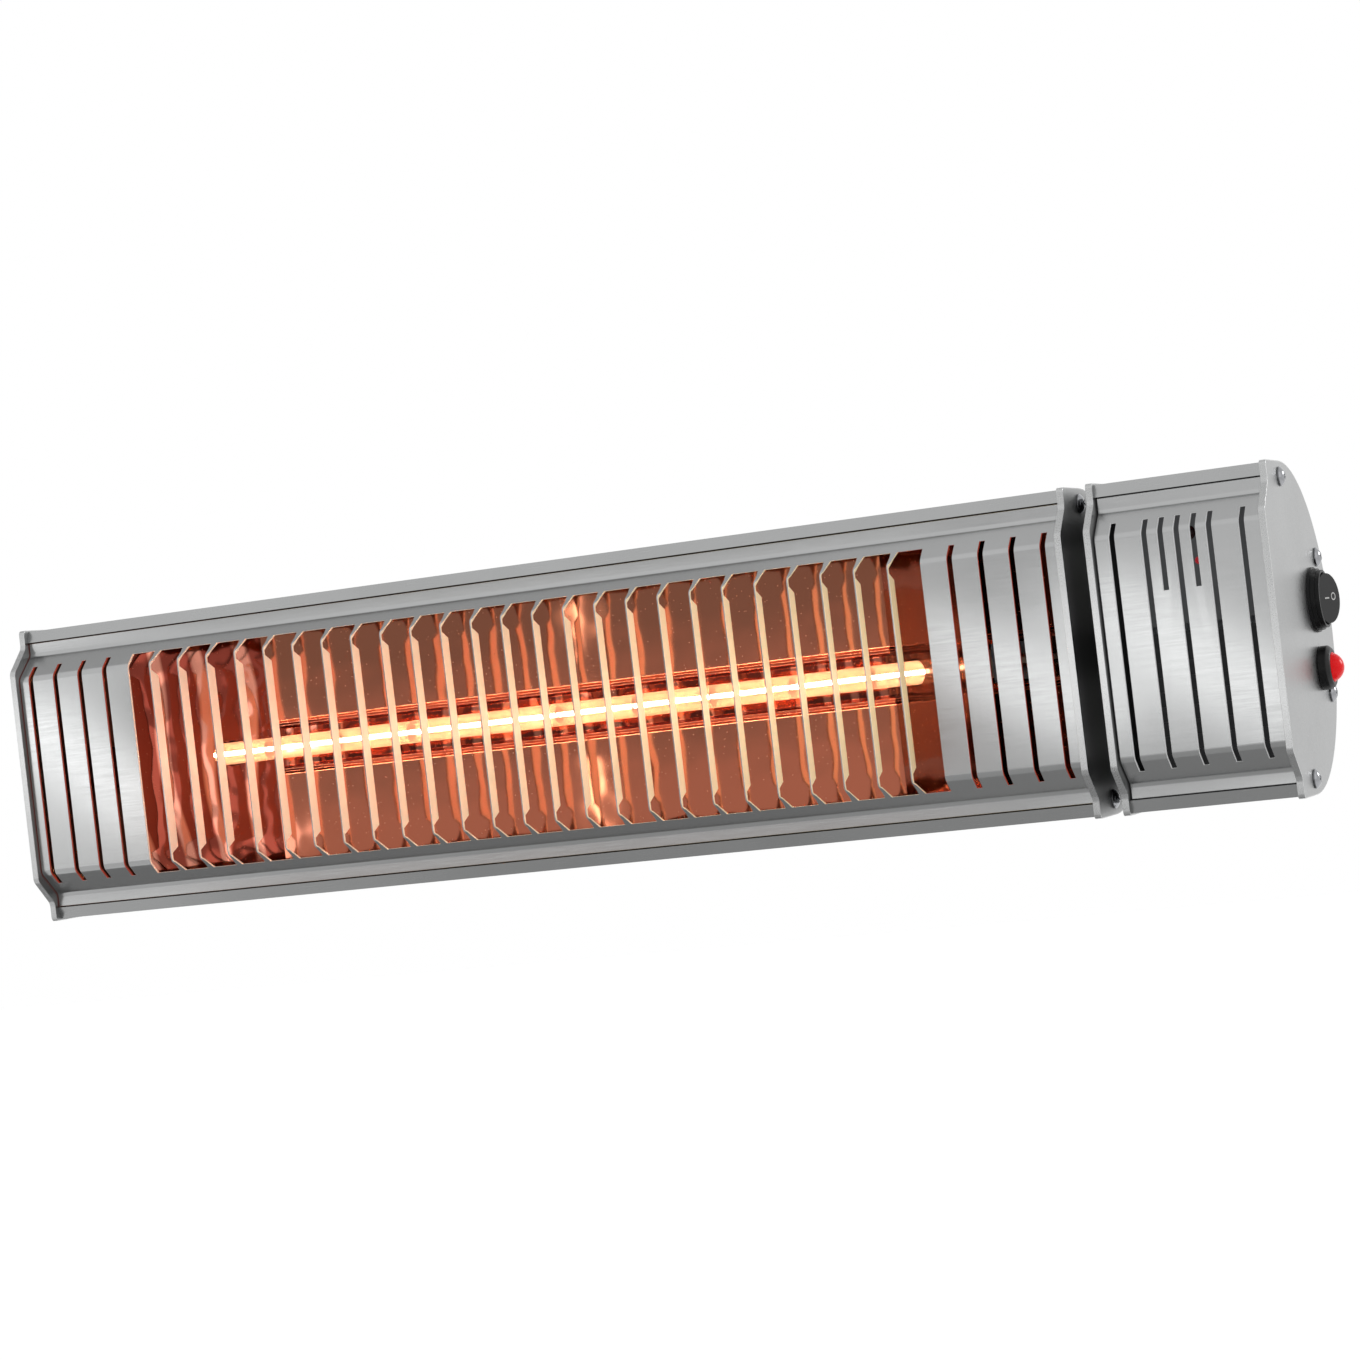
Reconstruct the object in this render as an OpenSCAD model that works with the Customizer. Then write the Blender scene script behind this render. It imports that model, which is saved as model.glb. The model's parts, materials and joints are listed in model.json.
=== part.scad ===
// Wall-mounted infrared bar heater: a quartz lamp behind a slatted cover, a control box
// beside it, and a tilting wall bracket. Millimetres, +Z up, the front faces -Y.
// The origin is the centre of the wall plate's back face.
// Inside the modules X runs from the left outer face and Y from the cover's front plane.

/* [Casing] */
// Length of the heater section over its end plates
heater_l = 502; // [440:1:700]
// Length of the control box over its end plates
control_l = 74; // [72:1:100]
// Gap between the heater section and the control box
section_gap = 9.3; // [8:0.1:14]
// Thickness of the cast end plates
plate_t = 2.8; // [2:0.1:4]
// How far the end plates stand out past the shell
plate_rim = 0.8; // [0.4:0.1:2]
// How far the end plates stand in front of the cover
plate_proud = 3; // [1:0.1:5]
// Height of the plates' flat front edge
plate_front_h = 96.2; // [92:0.1:102]
// Depth of the casing before its back turns round
straight_d = 32; // [28:0.5:45]
// Wall thickness of the extruded shell
shell_t = 1.6; // [1.2:0.1:2.5]

/* [Cover section] */
// Height of the cover's flat front
front_h = 90; // [84:0.5:110]
// Height of each slanted facet
facet_h = 10.4; // [8:0.1:14]
// Depth of each slanted facet
facet_d = 11.1; // [8:0.1:14]
// Visible height of the flange above the facet
flange_h = 6.1; // [5:0.1:9]
// Height of the shell's front lip
lip_h = 5.2; // [4:0.1:8]
// Sheet thickness of the cover
cover_t = 1.2; // [0.8:0.1:1.5]
// Inner radius of the cover's bends
bend_r = 3; // [1:0.1:4]

/* [Window and slots] */
// Distance from each end of the heater section to the window
window_margin = 61.1; // [56:0.1:80]
// Height of the window and of the long slots
window_h = 100; // [96:0.5:106]
// Number of slats across the window
slat_count = 25; // [12:1:32]
// Width of the last opening, at the right
last_opening = 10.9; // [8:0.1:14]
// Width of a slat where it crosses the facets
strip_w = 3; // [2:0.1:4]
// Depth of the blade folded back from each slat
blade_d = 6.6; // [3:0.1:8]
// Width of the narrow slots
slot_w = 2.3; // [1.5:0.1:3]
// Spacing of the narrow slots
slot_pitch = 13.2; // [10:0.1:13.4]
// Distance from a section's end to its first slot
slot_margin = 8.9; // [7:0.1:12]
// Number of slots at each end of the heater section
side_slots = 4; // [1:1:4]
// Number of long slots in the control box
control_slots = 5; // [3:1:5]
// Length of the short slots between them
short_slot_h = 29.2; // [15:0.1:40]

/* [Lamp and reflector] */
// Depth of the lamp's axis behind the cover
lamp_y = 45; // [40:0.5:48]
// Outer radius of the quartz tube
lamp_r = 5; // [4:0.1:6]
// Distance from each end of the heater section to the tube's clear part
lamp_margin = 66; // [58:0.5:90]
// Radius of the glowing filament
filament_r = 1.6; // [1:0.1:2]
// Sheet thickness of the reflector
reflector_t = 0.8; // [0.5:0.1:1]
// Height of the reflector's central channel
channel_h = 19.6; // [18:0.1:24]
// Depth at which the wings meet the channel
channel_y = 58; // [54:0.5:60]
// Depth of the channel's floor
floor_y = 63; // [61:0.5:66]

/* [Switch and button] */
// Depth of the switch and the button behind the cover
panel_y = 69; // [60:0.5:72]
// Height of the rocker switch above the middle
switch_z = 10.6; // [8:0.1:14]
// Radius of the switch flange
switch_flange_r = 13.5; // [13:0.1:15]
// Radius of the rocker
rocker_r = 10.3; // [9.5:0.1:10.3]
// Full swing of the rocker in degrees
rocker_swing = 30; // [16:1:30]
// Height of the button below the middle
button_drop = 17.7; // [17:0.1:20]
// Radius of the button's bezel
bezel_r = 9.1; // [8.8:0.1:10]
// Radius of the red button
cap_r = 6.1; // [5:0.1:6.4]
// Travel of the button
button_travel = 2; // [1:0.1:3]

/* [Wall bracket] */
// Distance from the tilt axis to the wall
wall_reach = 36; // [30:0.5:50]
// Distance from the shell's back to the tilt axis
arm_reach = 23.8; // [22:0.1:40]
// Distance between the two hinge stations
station_span = 150; // [110:1:220]
// Sheet thickness of the wall plate
wall_plate_t = 2.5; // [2:0.1:4]
// Height of the wall plate
wall_plate_h = 60; // [50:1:100]
// Spacing of the wall holes along the plate
wall_hole_dx = 185; // [160:1:260]
// Spacing of the wall holes up the plate
wall_hole_dz = 40; // [24:1:80]
// Radius of the wall holes
wall_hole_r = 3.25; // [2:0.05:4]

/* [Hidden] */

// Finenesses and general clearances
$fn = 64;
small_fn = 32;
bend_steps = 6;
curve_steps = 4;
limit_share = 0.45;
overrun = 1;
fit = 0.05;
loose = 0.3;
merge = 0.2;
aluminium = "#b9bdbf";
cast_grey = "#b4b7b8";
steel = "#9da1a4";
brass = "#c9a24a";
black = "#222426";
ceramic_white = "#ece6d8";

// Derived places of the casing
front_half = front_h / 2;
flange_top = front_half + facet_h + flange_h;
shell_r = flange_top + lip_h;
plate_r = shell_r + plate_rim;
total_l = heater_l + section_gap + control_l;
control_x = heater_l + section_gap;
control_mid = control_x + control_l / 2;
window_half = window_h / 2;

// Shell extrusion: lips, grooves, rails, screw ports and the slot in its back
lip_wall = 1;
groove_d = 1.5;
ledge_t = 1.4;
ledge_h = 5;
rib_t = 1.2;
rib_h = 2.4;
rail_h = 4.2;
lip_y = facet_d - fit - lip_wall;
ledge_y = facet_d + cover_t + fit;
rim_y = ledge_y + ledge_t;
port_ring_r = 4.2;
port_bore_r = 1.95;
port_web = 3;
port_a_in = 5.7;
port_a_angle = 91.5;
port_b_in = 8.9;
port_b_angle = 29.3;
flat_cut = 0.5;
flat_y = straight_d + shell_r - flat_cut;
tslot_mouth = 6.6;
tslot_cavity_h = 10.4;
tslot_cavity_d = 4.6;
tslot_wall = 1.8;
tslot_skin = 3;
tslot_block_d = tslot_skin + tslot_cavity_d + tslot_wall;
tslot_block_h = tslot_cavity_h + 2 * tslot_wall;

// End plates
plate_facet = 11.1;
plate_step_z = plate_front_h / 2 + plate_facet;
plate_lip_y = plate_facet - plate_proud;
plate_bend_r = 4;
plate_corner_r = 2;
plate_hole_r = 2.3;

// Screws that hold the end plates
pan_head_r = 4;
pan_head_h = 2.6;
pan_dome_r = 5.2;
screw_r = 1.9;
screw_l = 12;
recess_l = 3.6;
recess_w = 0.8;
recess_d = 1.2;

// Slats and slots
window_w = heater_l - 2 * window_margin;
slat_pitch = (window_w - last_opening) / slat_count;
taper_h = 3;
blade_chamfer = 3;
cover_gap = 0.3;

// Reflector section
reflector_bend_r = 0.3;
valley_d = 1;
valley_half = 1.4;
valley_z = channel_h / 2 + valley_half;
wing_inset = 0.9;
wing_fold = 3;
end_fold_x = lamp_margin + 32;
end_rim_x = window_margin - 2;
floor_draft = 1.2;
lead_hole_r = 4;
wing_top_z = flange_top - ledge_h - wing_inset;
rim_top_z = shell_r - shell_t - 2 * loose;

// Thermal cut-out on the inside of the heater's right plate, behind the reflector
cutout_r = 7.5;
cutout_t = 5;
cutout_z = 38;
cutout_flange_r = 9;
cutout_flange_t = 1;
cutout_clear = 1.2;
cutout_y = channel_y + reflector_t + cutout_flange_r + cutout_clear;
blade_w = 4.8;
blade_t = 0.8;
blade_l = 8;
cutout_reach = plate_t + cutout_flange_t + cutout_t + blade_l;

// Lamp: the room between the lead and the clear tube is shared by the cap and the pinch
lead_gap = 7.2;
lead_x = cutout_reach + lead_gap;
cap_room = lamp_margin - lead_x;
pinch_share = 1 / 3;
cap_share = 3 / 7;
cap_hold_share = 0.4;
glass_t = 1;
lamp_l = heater_l - 2 * lamp_margin;
lamp_taper = 7;
pinch_l = cap_room * pinch_share;
pinch_w = 9;
pinch_t = 3.2;
pin_r = 0.8;
end_cap_r = 6;
end_cap_l = cap_room * cap_share;
pinch_grip = 4;
pinch_x = lamp_margin - pinch_l;
end_cap_x0 = pinch_x + pinch_grip - end_cap_l;
support_count = 9;
support_t = 0.6;
bracket_t = 1.2;
bracket_half = 8;
bracket_foot = 11;
bracket_x0 = end_cap_x0 + cap_hold_share * end_cap_l;
bracket_margin = 3;
m3_r = 1.5;
m3_head_r = 2.8;
m3_head_h = 1.8;
m3_nut_r = 3.2;
m3_nut_h = 2.4;
foot_screw_x = bracket_x0 - bracket_foot / 2;
lead_r = 1.3;
lead_y = floor_y + 9;
lead_z = 3;
jumper_y = floor_y + 5;
return_x = lead_x + 6;
lead_bend = 6;
wire_sides = 8;

// Joints between the two sections
spacer_r = 6;
m5_r = 2.5;
m5_clear_r = 2.7;
m5_head_r = 4.2;
m5_head_h = 3.4;
m5_nut_h = 4;
spacer_places = [[50, 1], [50, -1]];
spacer_z = shell_r - 16.7;
conduit_y = floor_y + 9;
conduit_r = 7;
conduit_bore_r = 5.5;
conduit_collar_r = 10;
conduit_reach = 3;

// Control box contents
chassis_y = 41;
chassis_t = 1.5;
chassis_half = shell_r - 2.9;
inside_x0 = control_x + plate_t;
inside_l = control_l - 2 * plate_t;
side_gap = 5.5;
sink_top = 4;
sink_h = 58;
sink_base = 4;
fin_t = 1.2;
fin_pitch = 6;
fin_front = 17;
receiver_z0 = 7;
receiver_h = 46;
receiver_front = 20;
receiver_wall = 1.6;
lens_r = 3;
led_r = 1.5;
led_x = control_mid + 3;
led_z = 31.5;
lens_z = 43;
bump_proud = 1.2;
board_t = 1.6;
board_stand = 6;
board_y = chassis_y + chassis_t + board_stand;
board_gap = 5.2;
board_w = inside_l - 2 * board_gap;
board_h = 102;
board_inset = 5;
board_spacer_r = 2.6;
board_back = board_y + board_t;
part_inset = 4;
part_x0 = control_mid - board_w / 2 + part_inset;
relay_size = [19, 15, 16];
relay_z = 26;
capacitor_r = 6;
capacitor_l = 18;
capacitor_z = 6;
triac_size = [10, 4.5, 15];
triac_z = -22;
block_share = 0.4828;
block_size = [board_w * block_share, 12, 14];
block_z = -42;
block_pole_r = 2;

// Rocker switch, its axis along X
switch_body_r = 12;
switch_body_d = 17;
switch_hole_r = switch_body_r + 3 * fit;
switch_top = 4.8;
switch_steps = [[switch_flange_r, 1.2], [switch_flange_r - 0.8, 3], [switch_flange_r - 1.6, switch_top]];
switch_open_r = rocker_r + 0.6;
switch_floor = -2.8;
rocker_bottom = 0.2;
rocker_pivot = 3.2;
rocker_face = 6.3;
rocker_stem_d = 6;
rocker_stem_w = 6;
rocker_stem_h = 12;
stem_room = 2.2;
rocker_pin_r = 0.7;
rocker_pin_half = switch_open_r + 0.6;
switch_blade_dy = 5;

// Push button, its axis along X
button_z = -button_drop;
bezel_h = 5;
bezel_chamfer = 1.5;
barrel_r = 7.9;
barrel_d = 15;
barrel_hole_r = barrel_r + 2 * fit;
cap_skirt = 4;
cap_dome = 4.2;
cap_rim = 0.2;
cap_bore_r = cap_r + fit;
chamber_r = cap_r - 1;
chamber_d = 9;
spring_wire_r = 0.4;
spring_coil_r = 4;
spring_turns = 5;
spring_steps = 12;
spring_sides = 6;
button_nut_af = 19;
button_nut_t = 3;
button_blade_dy = 4;

// Cable gland, its axis on a radius of the round back
gland_angle = -30;
gland_pad_r = 12.5;
gland_pad_in = shell_r - 3.2;
gland_pad_out = shell_r + 1.3;
gland_pad_h = gland_pad_out - gland_pad_in;
gland_room = 12;
gland_thread_r = 8;
gland_hole_r = gland_thread_r + 2 * fit;
gland_thread_l = 8.5;
gland_hex_af = 20;
gland_hex_h = 4.5;
gland_bore_r = 5;
cord_hole_r = 4.4;
gland_nut_af = 21;
gland_nut_h = 3;
gland_cap_r = 9.4;
gland_cap_h = 11;
gland_cap_roof = 2.5;
gland_neck_r = 7;
gland_neck_h = 5;

// Wall bracket and tilt joint
pivot_y = flat_y + arm_reach;
wall_y = pivot_y + wall_reach;
m6_r = 3;
m6_running_r = 3.08;
m6_clear_r = 3.3;
m6_head_af = 10;
m6_head_h = 4;
m6_nut_h = 5;
m6_proud = 2;
arm_t = 3;
arm_half_x = 17;
arm_half_z = 8;
arm_bolt_dx = 7;
ear_r = 10;
ear_gap = 0.3;
ear_in = arm_half_x + ear_gap;
ear_out = ear_in + wall_plate_t;
washer_r = 6.5;
washer_t = 1;
knob_r = 14;
knob_h = 11;
knob_lobes = 6;
knob_lobe_r = 4;
wall_corner_r = 6;
wall_edge = 11;
wall_plate_l = max(wall_hole_dx + 2 * wall_edge, station_span + 2 * (ear_out + wall_corner_r));

// Vector and path functions
function unit(v) = v / norm(v);
function left_normal(a, b) = let (d = unit(b - a)) [-d[1], d[0]];
function shifted(p, i, d) =
    i == 0 ? p[0] + d * left_normal(p[0], p[1]) :
    i == len(p) - 1 ? p[i] + d * left_normal(p[i - 1], p[i]) :
    let (m = left_normal(p[i - 1], p[i]), n = left_normal(p[i], p[i + 1])) p[i] + d * (m + n) / (1 + m * n);
function offset_path(p, d) = [for (i = [0 : len(p) - 1]) shifted(p, i, d)];
function left_turn(a, b, c) = cross(b - a, c - b) > 0;

// Arc of radius r in the corner at b, no longer than its two sides allow
function corner(a, b, c, r) =
    let (u = unit(a - b), v = unit(c - b), half = acos(u * v) / 2)
    let (cut = min(r / tan(half), limit_share * min(norm(a - b), norm(c - b))), ar = cut * tan(half))
    let (centre = b + unit(u + v) * ar / sin(half), s = b + u * cut - centre, a0 = atan2(s[1], s[0]))
    let (sweep = (180 - 2 * half) * (left_turn(a, b, c) ? 1 : -1))
    [for (k = [0 : bend_steps]) let (a = a0 + sweep * k / bend_steps) centre + ar * [cos(a), sin(a)]];

// Path of a bent sheet's surface: r inside each bend and r + t outside it
function bent(p, r_left, r_right) = [
    p[0],
    for (i = [1 : len(p) - 2])
        each corner(p[i - 1], p[i], p[i + 1], left_turn(p[i - 1], p[i], p[i + 1]) ? r_left : r_right),
    p[len(p) - 1]];
function reversed(p) = [for (i = [len(p) - 1 : -1 : 0]) p[i]];
function mirrored(p) = concat(p, [for (q = reversed(p)) [q[0], -q[1]]]);

// Closed outline with every corner rounded by its own radius
function before(p, i) = p[(i + len(p) - 1) % len(p)];
function after(p, i) = p[(i + 1) % len(p)];
function rounded(p, radii) = [
    for (i = [0 : len(p) - 1])
        each radii[i] > 0 ? corner(before(p, i), p[i], after(p, i), radii[i]) : [p[i]]];

// Sheet of thickness t on the left of a path, bent with inner radius r
module sheet_2d(p, t, r) {
    polygon(concat(bent(p, r + t, r), reversed(bent(offset_path(p, t), r, r + t))));
}

// Wire route: each corner becomes a short curve
function curve(s, b, e) = [for (k = [0 : curve_steps]) let (t = k / curve_steps, u = 1 - t)
    u * u * s + 2 * t * u * b + t * t * e];
function route(p, r) = [
    p[0],
    for (i = [1 : len(p) - 2])
        let (u = unit(p[i - 1] - p[i]), v = unit(p[i + 1] - p[i]))
        let (cut = min(r, limit_share * min(norm(p[i - 1] - p[i]), norm(p[i + 1] - p[i]))))
        each curve(p[i] + u * cut, p[i], p[i] + v * cut),
    p[len(p) - 1]];
function heading(p, i) = unit(p[min(i + 1, len(p) - 1)] - p[max(i - 1, 0)]);
function square_to(v, t) = unit(v - (v * t) * t);
function side_of(t) = square_to(abs(t[2]) < abs(t[0]) + abs(t[1]) ? [0, 0, 1] : [1, 0, 0], t);
function frames(p) = [for (i = 0, n = side_of(heading(p, 0)); i < len(p);
    i = i + 1, n = i < len(p) ? square_to(n, heading(p, i)) : n) n];
function ring(c, n, t, r, sides) = [for (k = [0 : sides - 1])
    let (a = 360 * k / sides) c + r * (cos(a) * n + sin(a) * cross(t, n))];

module swept(p, r, sides) {
    n = frames(p);
    last = len(p) - 1;
    points = [for (i = [0 : last]) each ring(p[i], n[i], heading(p, i), r, sides)];
    skin = [for (i = [0 : last - 1], k = [0 : sides - 1]) let (a = i * sides, m = (k + 1) % sides)
        each [[a + k, a + sides + k, a + sides + m], [a + k, a + sides + m, a + m]]];
    near = [for (k = [1 : sides - 2]) [0, k, k + 1]];
    far = [for (k = [1 : sides - 2]) [last * sides, last * sides + k + 1, last * sides + k]];
    polyhedron(points, concat(near, skin, far));
}

module wire(p) {
    swept(route(p, lead_bend), lead_r, wire_sides);
}

// Casing coordinates to the part's frame
module in_case() {
    translate([-heater_l / 2, -wall_y, 0]) children();
}

// Both ends of the heater section: the second copy is the first one mirrored
module both_ends() {
    children();
    translate([heater_l, 0, 0]) mirror([1, 0, 0]) children();
}

// A (Y, Z) outline drawn along X
module along_x(x, l) {
    translate([x, 0, 0]) rotate([90, 0, 90]) linear_extrude(l) children();
}

// An (X, Z) outline drawn along Y
module along_y(y, l) {
    translate([0, y + l, 0]) rotate([90, 0, 0]) linear_extrude(l) children();
}

module rod_x(x, l, r, y, z) {
    translate([x, y, z]) rotate([0, 90, 0]) cylinder(h = l, r = r);
}

module rod_y(y, l, r, x, z) {
    translate([x, y, z]) rotate([-90, 0, 0]) cylinder(h = l, r = r);
}

module block(low, size) {
    translate(low) cube(size);
}

module hexagon(af, h) {
    cylinder(h = h, r = af / sqrt(3), $fn = 6);
}

// Places of the four screws in an end plate, as (Y, Z)
function port(distance, angle) = [straight_d + distance * cos(angle), distance * sin(angle)];
port_a = port(shell_r - port_a_in, port_a_angle);
port_b = port(shell_r - port_b_in, port_b_angle);

module at_ports() {
    for (p = [port_a, port_b], side = [1, -1]) translate([p[0], side * p[1]]) children();
}

// Round back of the casing, and its D-shaped outline from depth y0
module back_2d(r) {
    translate([straight_d, 0]) intersection() {
        circle(r);
        translate([-merge, -2 * r]) square([2 * r, 4 * r]);
    }
}

module case_2d(r, y0) {
    back_2d(r);
    translate([y0, -r]) square([straight_d - y0, 2 * r]);
}

module mirror_2d() {
    children();
    mirror([0, 1]) children();
}

module shell_outline_2d() {
    intersection() {
        case_2d(shell_r, lip_y);
        translate([0, -shell_r]) square([flat_y, 2 * shell_r]);
    }
}

module shell_ribs_2d() {
    inner = shell_r - shell_t;
    mirror_2d() {
        translate([ledge_y, flange_top - ledge_h]) square([ledge_t, ledge_h + lip_h - shell_t / 2]);
        translate([rim_y + reflector_t + 2 * fit, inner - rib_h]) square([rib_t, rib_h + merge]);
        translate([chassis_y - fit - rib_t, inner - rail_h]) square([rib_t, rail_h + merge]);
        translate([chassis_y + chassis_t + fit, inner - rail_h]) square([rib_t, rail_h + merge]);
        translate([straight_d, 0]) rotate(port_b_angle) {
            translate([shell_r - port_b_in, -port_web / 2]) square([port_b_in - shell_t / 2, port_web]);
        }
        translate([port_a[0] - port_web / 2, port_a[1]]) square([port_web, port_a_in - shell_t / 2]);
    }
    at_ports() circle(port_ring_r);
    translate([flat_y - tslot_block_d, -tslot_block_h / 2]) square([tslot_block_d, tslot_block_h]);
}

module shell_2d() {
    difference() {
        intersection() {
            union() {
                difference() {
                    shell_outline_2d();
                    case_2d(shell_r - shell_t, rim_y - ledge_t / 2);
                    translate([0, -flange_top]) square([rim_y, 2 * flange_top]);
                }
                shell_ribs_2d();
            }
            shell_outline_2d();
        }
        mirror_2d() {
            translate([facet_d - fit, flange_top - merge]) square([cover_t + 2 * fit, groove_d + merge]);
        }
        at_ports() circle(port_bore_r, $fn = small_fn);
        translate([flat_y - tslot_skin - tslot_cavity_d, -tslot_cavity_h / 2]) {
            square([tslot_cavity_d, tslot_cavity_h]);
        }
        translate([flat_y - tslot_skin - merge, -tslot_mouth / 2]) {
            square([tslot_skin + 2 * merge, tslot_mouth]);
        }
    }
}

// Path of the cover's front surface from its top edge down
cover_edge = flange_top + groove_d - loose;
cover_path = mirrored([[facet_d, cover_edge], [facet_d, front_half + facet_h], [0, front_half]]);

module slot_cut(x, z0, z1) {
    block([x - slot_w / 2, -overrun, z0], [slot_w, facet_d + 2 * overrun, z1 - z0]);
}

// Outline of one window opening in X and Z: straight on its left, and on its right
// narrower over the facets, where the next slat is at its full width
module opening_2d(left, right) {
    wide = right - strip_w;
    narrow = right - cover_t;
    taper_z = front_half + taper_h;
    polygon([[left, -window_half], [wide, -window_half], [wide, -taper_z], [narrow, -front_half],
        [narrow, front_half], [wide, taper_z], [wide, window_half], [left, window_half]]);
}

function slat_x(i) = window_margin + (i + 1) * slat_pitch;

module blade(x) {
    z = front_half - bend_r;
    half = [[cover_t / 2, z], [blade_d, z - blade_chamfer]];
    along_x(x - cover_t, cover_t) polygon(mirrored(half));
}

module front_grille() color(aluminium) in_case() {
    difference() {
        along_x(plate_t + cover_gap, heater_l - 2 * (plate_t + cover_gap)) {
            sheet_2d(cover_path, cover_t, bend_r);
        }
        for (i = [0 : side_slots - 1]) {
            slot_cut(slot_margin + i * slot_pitch, -window_half, window_half);
            slot_cut(heater_l - slot_margin - i * slot_pitch, -window_half, window_half);
        }
        along_y(-overrun, facet_d + 2 * overrun) {
            for (i = [0 : slat_count - 1]) opening_2d(slat_x(i - 1), slat_x(i));
            translate([slat_x(slat_count - 1), -window_half]) square([last_opening, window_h]);
        }
    }
    for (i = [0 : slat_count - 1]) blade(slat_x(i));
}

module control_cover() color(aluminium) in_case() {
    middle = (control_slots - 1) / 2;
    difference() {
        along_x(inside_x0 + cover_gap, inside_l - 2 * cover_gap) sheet_2d(cover_path, cover_t, bend_r);
        for (i = [0 : control_slots - 1]) {
            slot_cut(control_mid + (i - middle) * slot_pitch, -window_half, window_half);
        }
        for (side = [-1, 1]) {
            slot_cut(control_mid + side * slot_pitch / 2, window_half - short_slot_h, window_half);
        }
    }
}

// Cast end plates
module plate_2d() {
    lip = [plate_lip_y, plate_r];
    step = [plate_lip_y, plate_step_z];
    edge = [-plate_proud, plate_front_h / 2];
    half = [[straight_d, plate_r], lip, step, edge];
    radii = [0, plate_corner_r, plate_bend_r, plate_bend_r];
    back_2d(plate_r);
    polygon(rounded(mirrored(half), concat(radii, reversed(radii))));
}

module end_plate(x) {
    difference() {
        along_x(x, plate_t) difference() {
            plate_2d();
            at_ports() circle(plate_hole_r, $fn = small_fn);
        }
        children();
    }
}

module joining_holes(x) {
    for (p = spacer_places) {
        rod_x(x - overrun, plate_t + 2 * overrun, m5_clear_r, p[0], p[1] * spacer_z);
    }
    rod_x(x - overrun, plate_t + 2 * overrun, conduit_r + fit, conduit_y, 0);
}

module left_end_plate() color(cast_grey) in_case() end_plate(0);
module heater_right_plate() color(cast_grey) in_case() {
    end_plate(heater_l - plate_t) joining_holes(heater_l - plate_t);
}
module control_left_plate() color(cast_grey) in_case() end_plate(control_x) joining_holes(control_x);
module control_right_plate() color(cast_grey) in_case() {
    x = total_l - plate_t;
    end_plate(x) {
        rod_x(x - overrun, plate_t + 2 * overrun, switch_hole_r, panel_y, switch_z);
        rod_x(x - overrun, plate_t + 2 * overrun, barrel_hole_r, panel_y, button_z);
    }
}

// Pan-head screw with its seat at the origin, the head towards +Z
module pan_screw(head_r, head_h, dome_r, r, l) {
    difference() {
        intersection() {
            cylinder(h = head_h, r = head_r, $fn = small_fn);
            translate([0, 0, head_h - dome_r]) sphere(dome_r);
        }
        for (a = [0, 90]) rotate(a) {
            block([-recess_l / 2, -recess_w / 2, head_h - recess_d], [recess_l, recess_w, head_h]);
        }
    }
    translate([0, 0, -l]) cylinder(h = l + merge, r = r, $fn = small_fn);
}

module plate_screws(x, side) {
    for (p = [port_a, port_b], s = [1, -1]) {
        translate([x, p[0], s * p[1]]) rotate([0, 90 * side, 0]) {
            pan_screw(pan_head_r, pan_head_h, pan_dome_r, screw_r, screw_l);
        }
    }
}

module heater_plate_screws() color(steel) in_case() {
    plate_screws(0, -1);
    plate_screws(heater_l, 1);
}
module control_plate_screws() color(steel) in_case() {
    plate_screws(control_x, -1);
    plate_screws(total_l, 1);
}

// Extruded shells of one section
module rear_shell() color(aluminium) in_case() along_x(plate_t, heater_l - 2 * plate_t) shell_2d();

module at_gland(r) {
    translate([control_mid, straight_d, 0]) rotate([gland_angle, 0, 0]) rotate([-90, 0, 0]) {
        translate([0, 0, r]) children();
    }
}

module control_shell() color(aluminium) in_case() difference() {
    union() {
        along_x(inside_x0, inside_l) shell_2d();
        at_gland(gland_pad_in) cylinder(h = gland_pad_h, r = gland_pad_r);
    }
    at_gland(gland_pad_in - overrun) cylinder(h = gland_pad_h + 2 * overrun, r = gland_hole_r);
    at_gland(gland_pad_in - gland_room) cylinder(h = gland_room, r = gland_pad_r);
}

// Polished reflector: a tray with a side wall and a flat wing on each side of the lamp's channel
reflector_path = mirrored([
    [rim_y + fit, rim_top_z], [rim_y + fit, wing_top_z], [channel_y - wing_fold, wing_top_z],
    [channel_y, wing_top_z - wing_fold], [channel_y, valley_z + valley_half],
    [channel_y + valley_d, valley_z], [channel_y, valley_z - valley_half],
    [floor_y, valley_z - valley_half - floor_draft]]);

// Sloping wall that closes an end of the tray, so that the window's ends shine as well
tray_inside = offset_path([for (i = [1 : len(reflector_path) - 2]) reflector_path[i]], merge);
module end_wall() intersection() {
    rise = channel_y - rim_y;
    lean = (end_fold_x - end_rim_x) / rise;
    skin_x = reflector_t * norm([1, lean]);
    back_x = end_fold_x + lean * (floor_y + merge - channel_y);
    translate([0, 0, -wing_top_z - overrun]) linear_extrude(2 * (wing_top_z + overrun)) polygon([
        [end_rim_x, rim_y], [back_x, floor_y + merge],
        [back_x - skin_x, floor_y + merge], [end_rim_x - skin_x, rim_y]]);
    along_x(0, heater_l) polygon(tray_inside);
}

module reflector() color("#c58b6c") in_case() difference() {
    union() {
        along_x(plate_t + loose, heater_l - 2 * (plate_t + loose)) {
            sheet_2d(reflector_path, reflector_t, reflector_bend_r);
        }
        both_ends() end_wall();
    }
    both_ends() {
        rod_x(end_rim_x, end_fold_x - end_rim_x, lamp_r + overrun, lamp_y, 0);
        rod_y(floor_y - overrun, reflector_t + 2 * overrun, lead_hole_r, lead_x, 0);
        rod_y(floor_y - overrun, reflector_t + 2 * overrun, m3_r + 2 * fit, foot_screw_x, 0);
    }
}

// Lamp: quartz tube with a flat pinch at each end
module lamp_profile_2d(r, l, taper, tip_r) {
    polygon([[0, 0], [tip_r, 0], [r, taper], [r, taper + l], [tip_r, 2 * taper + l], [0, 2 * taper + l]]);
}

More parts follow.
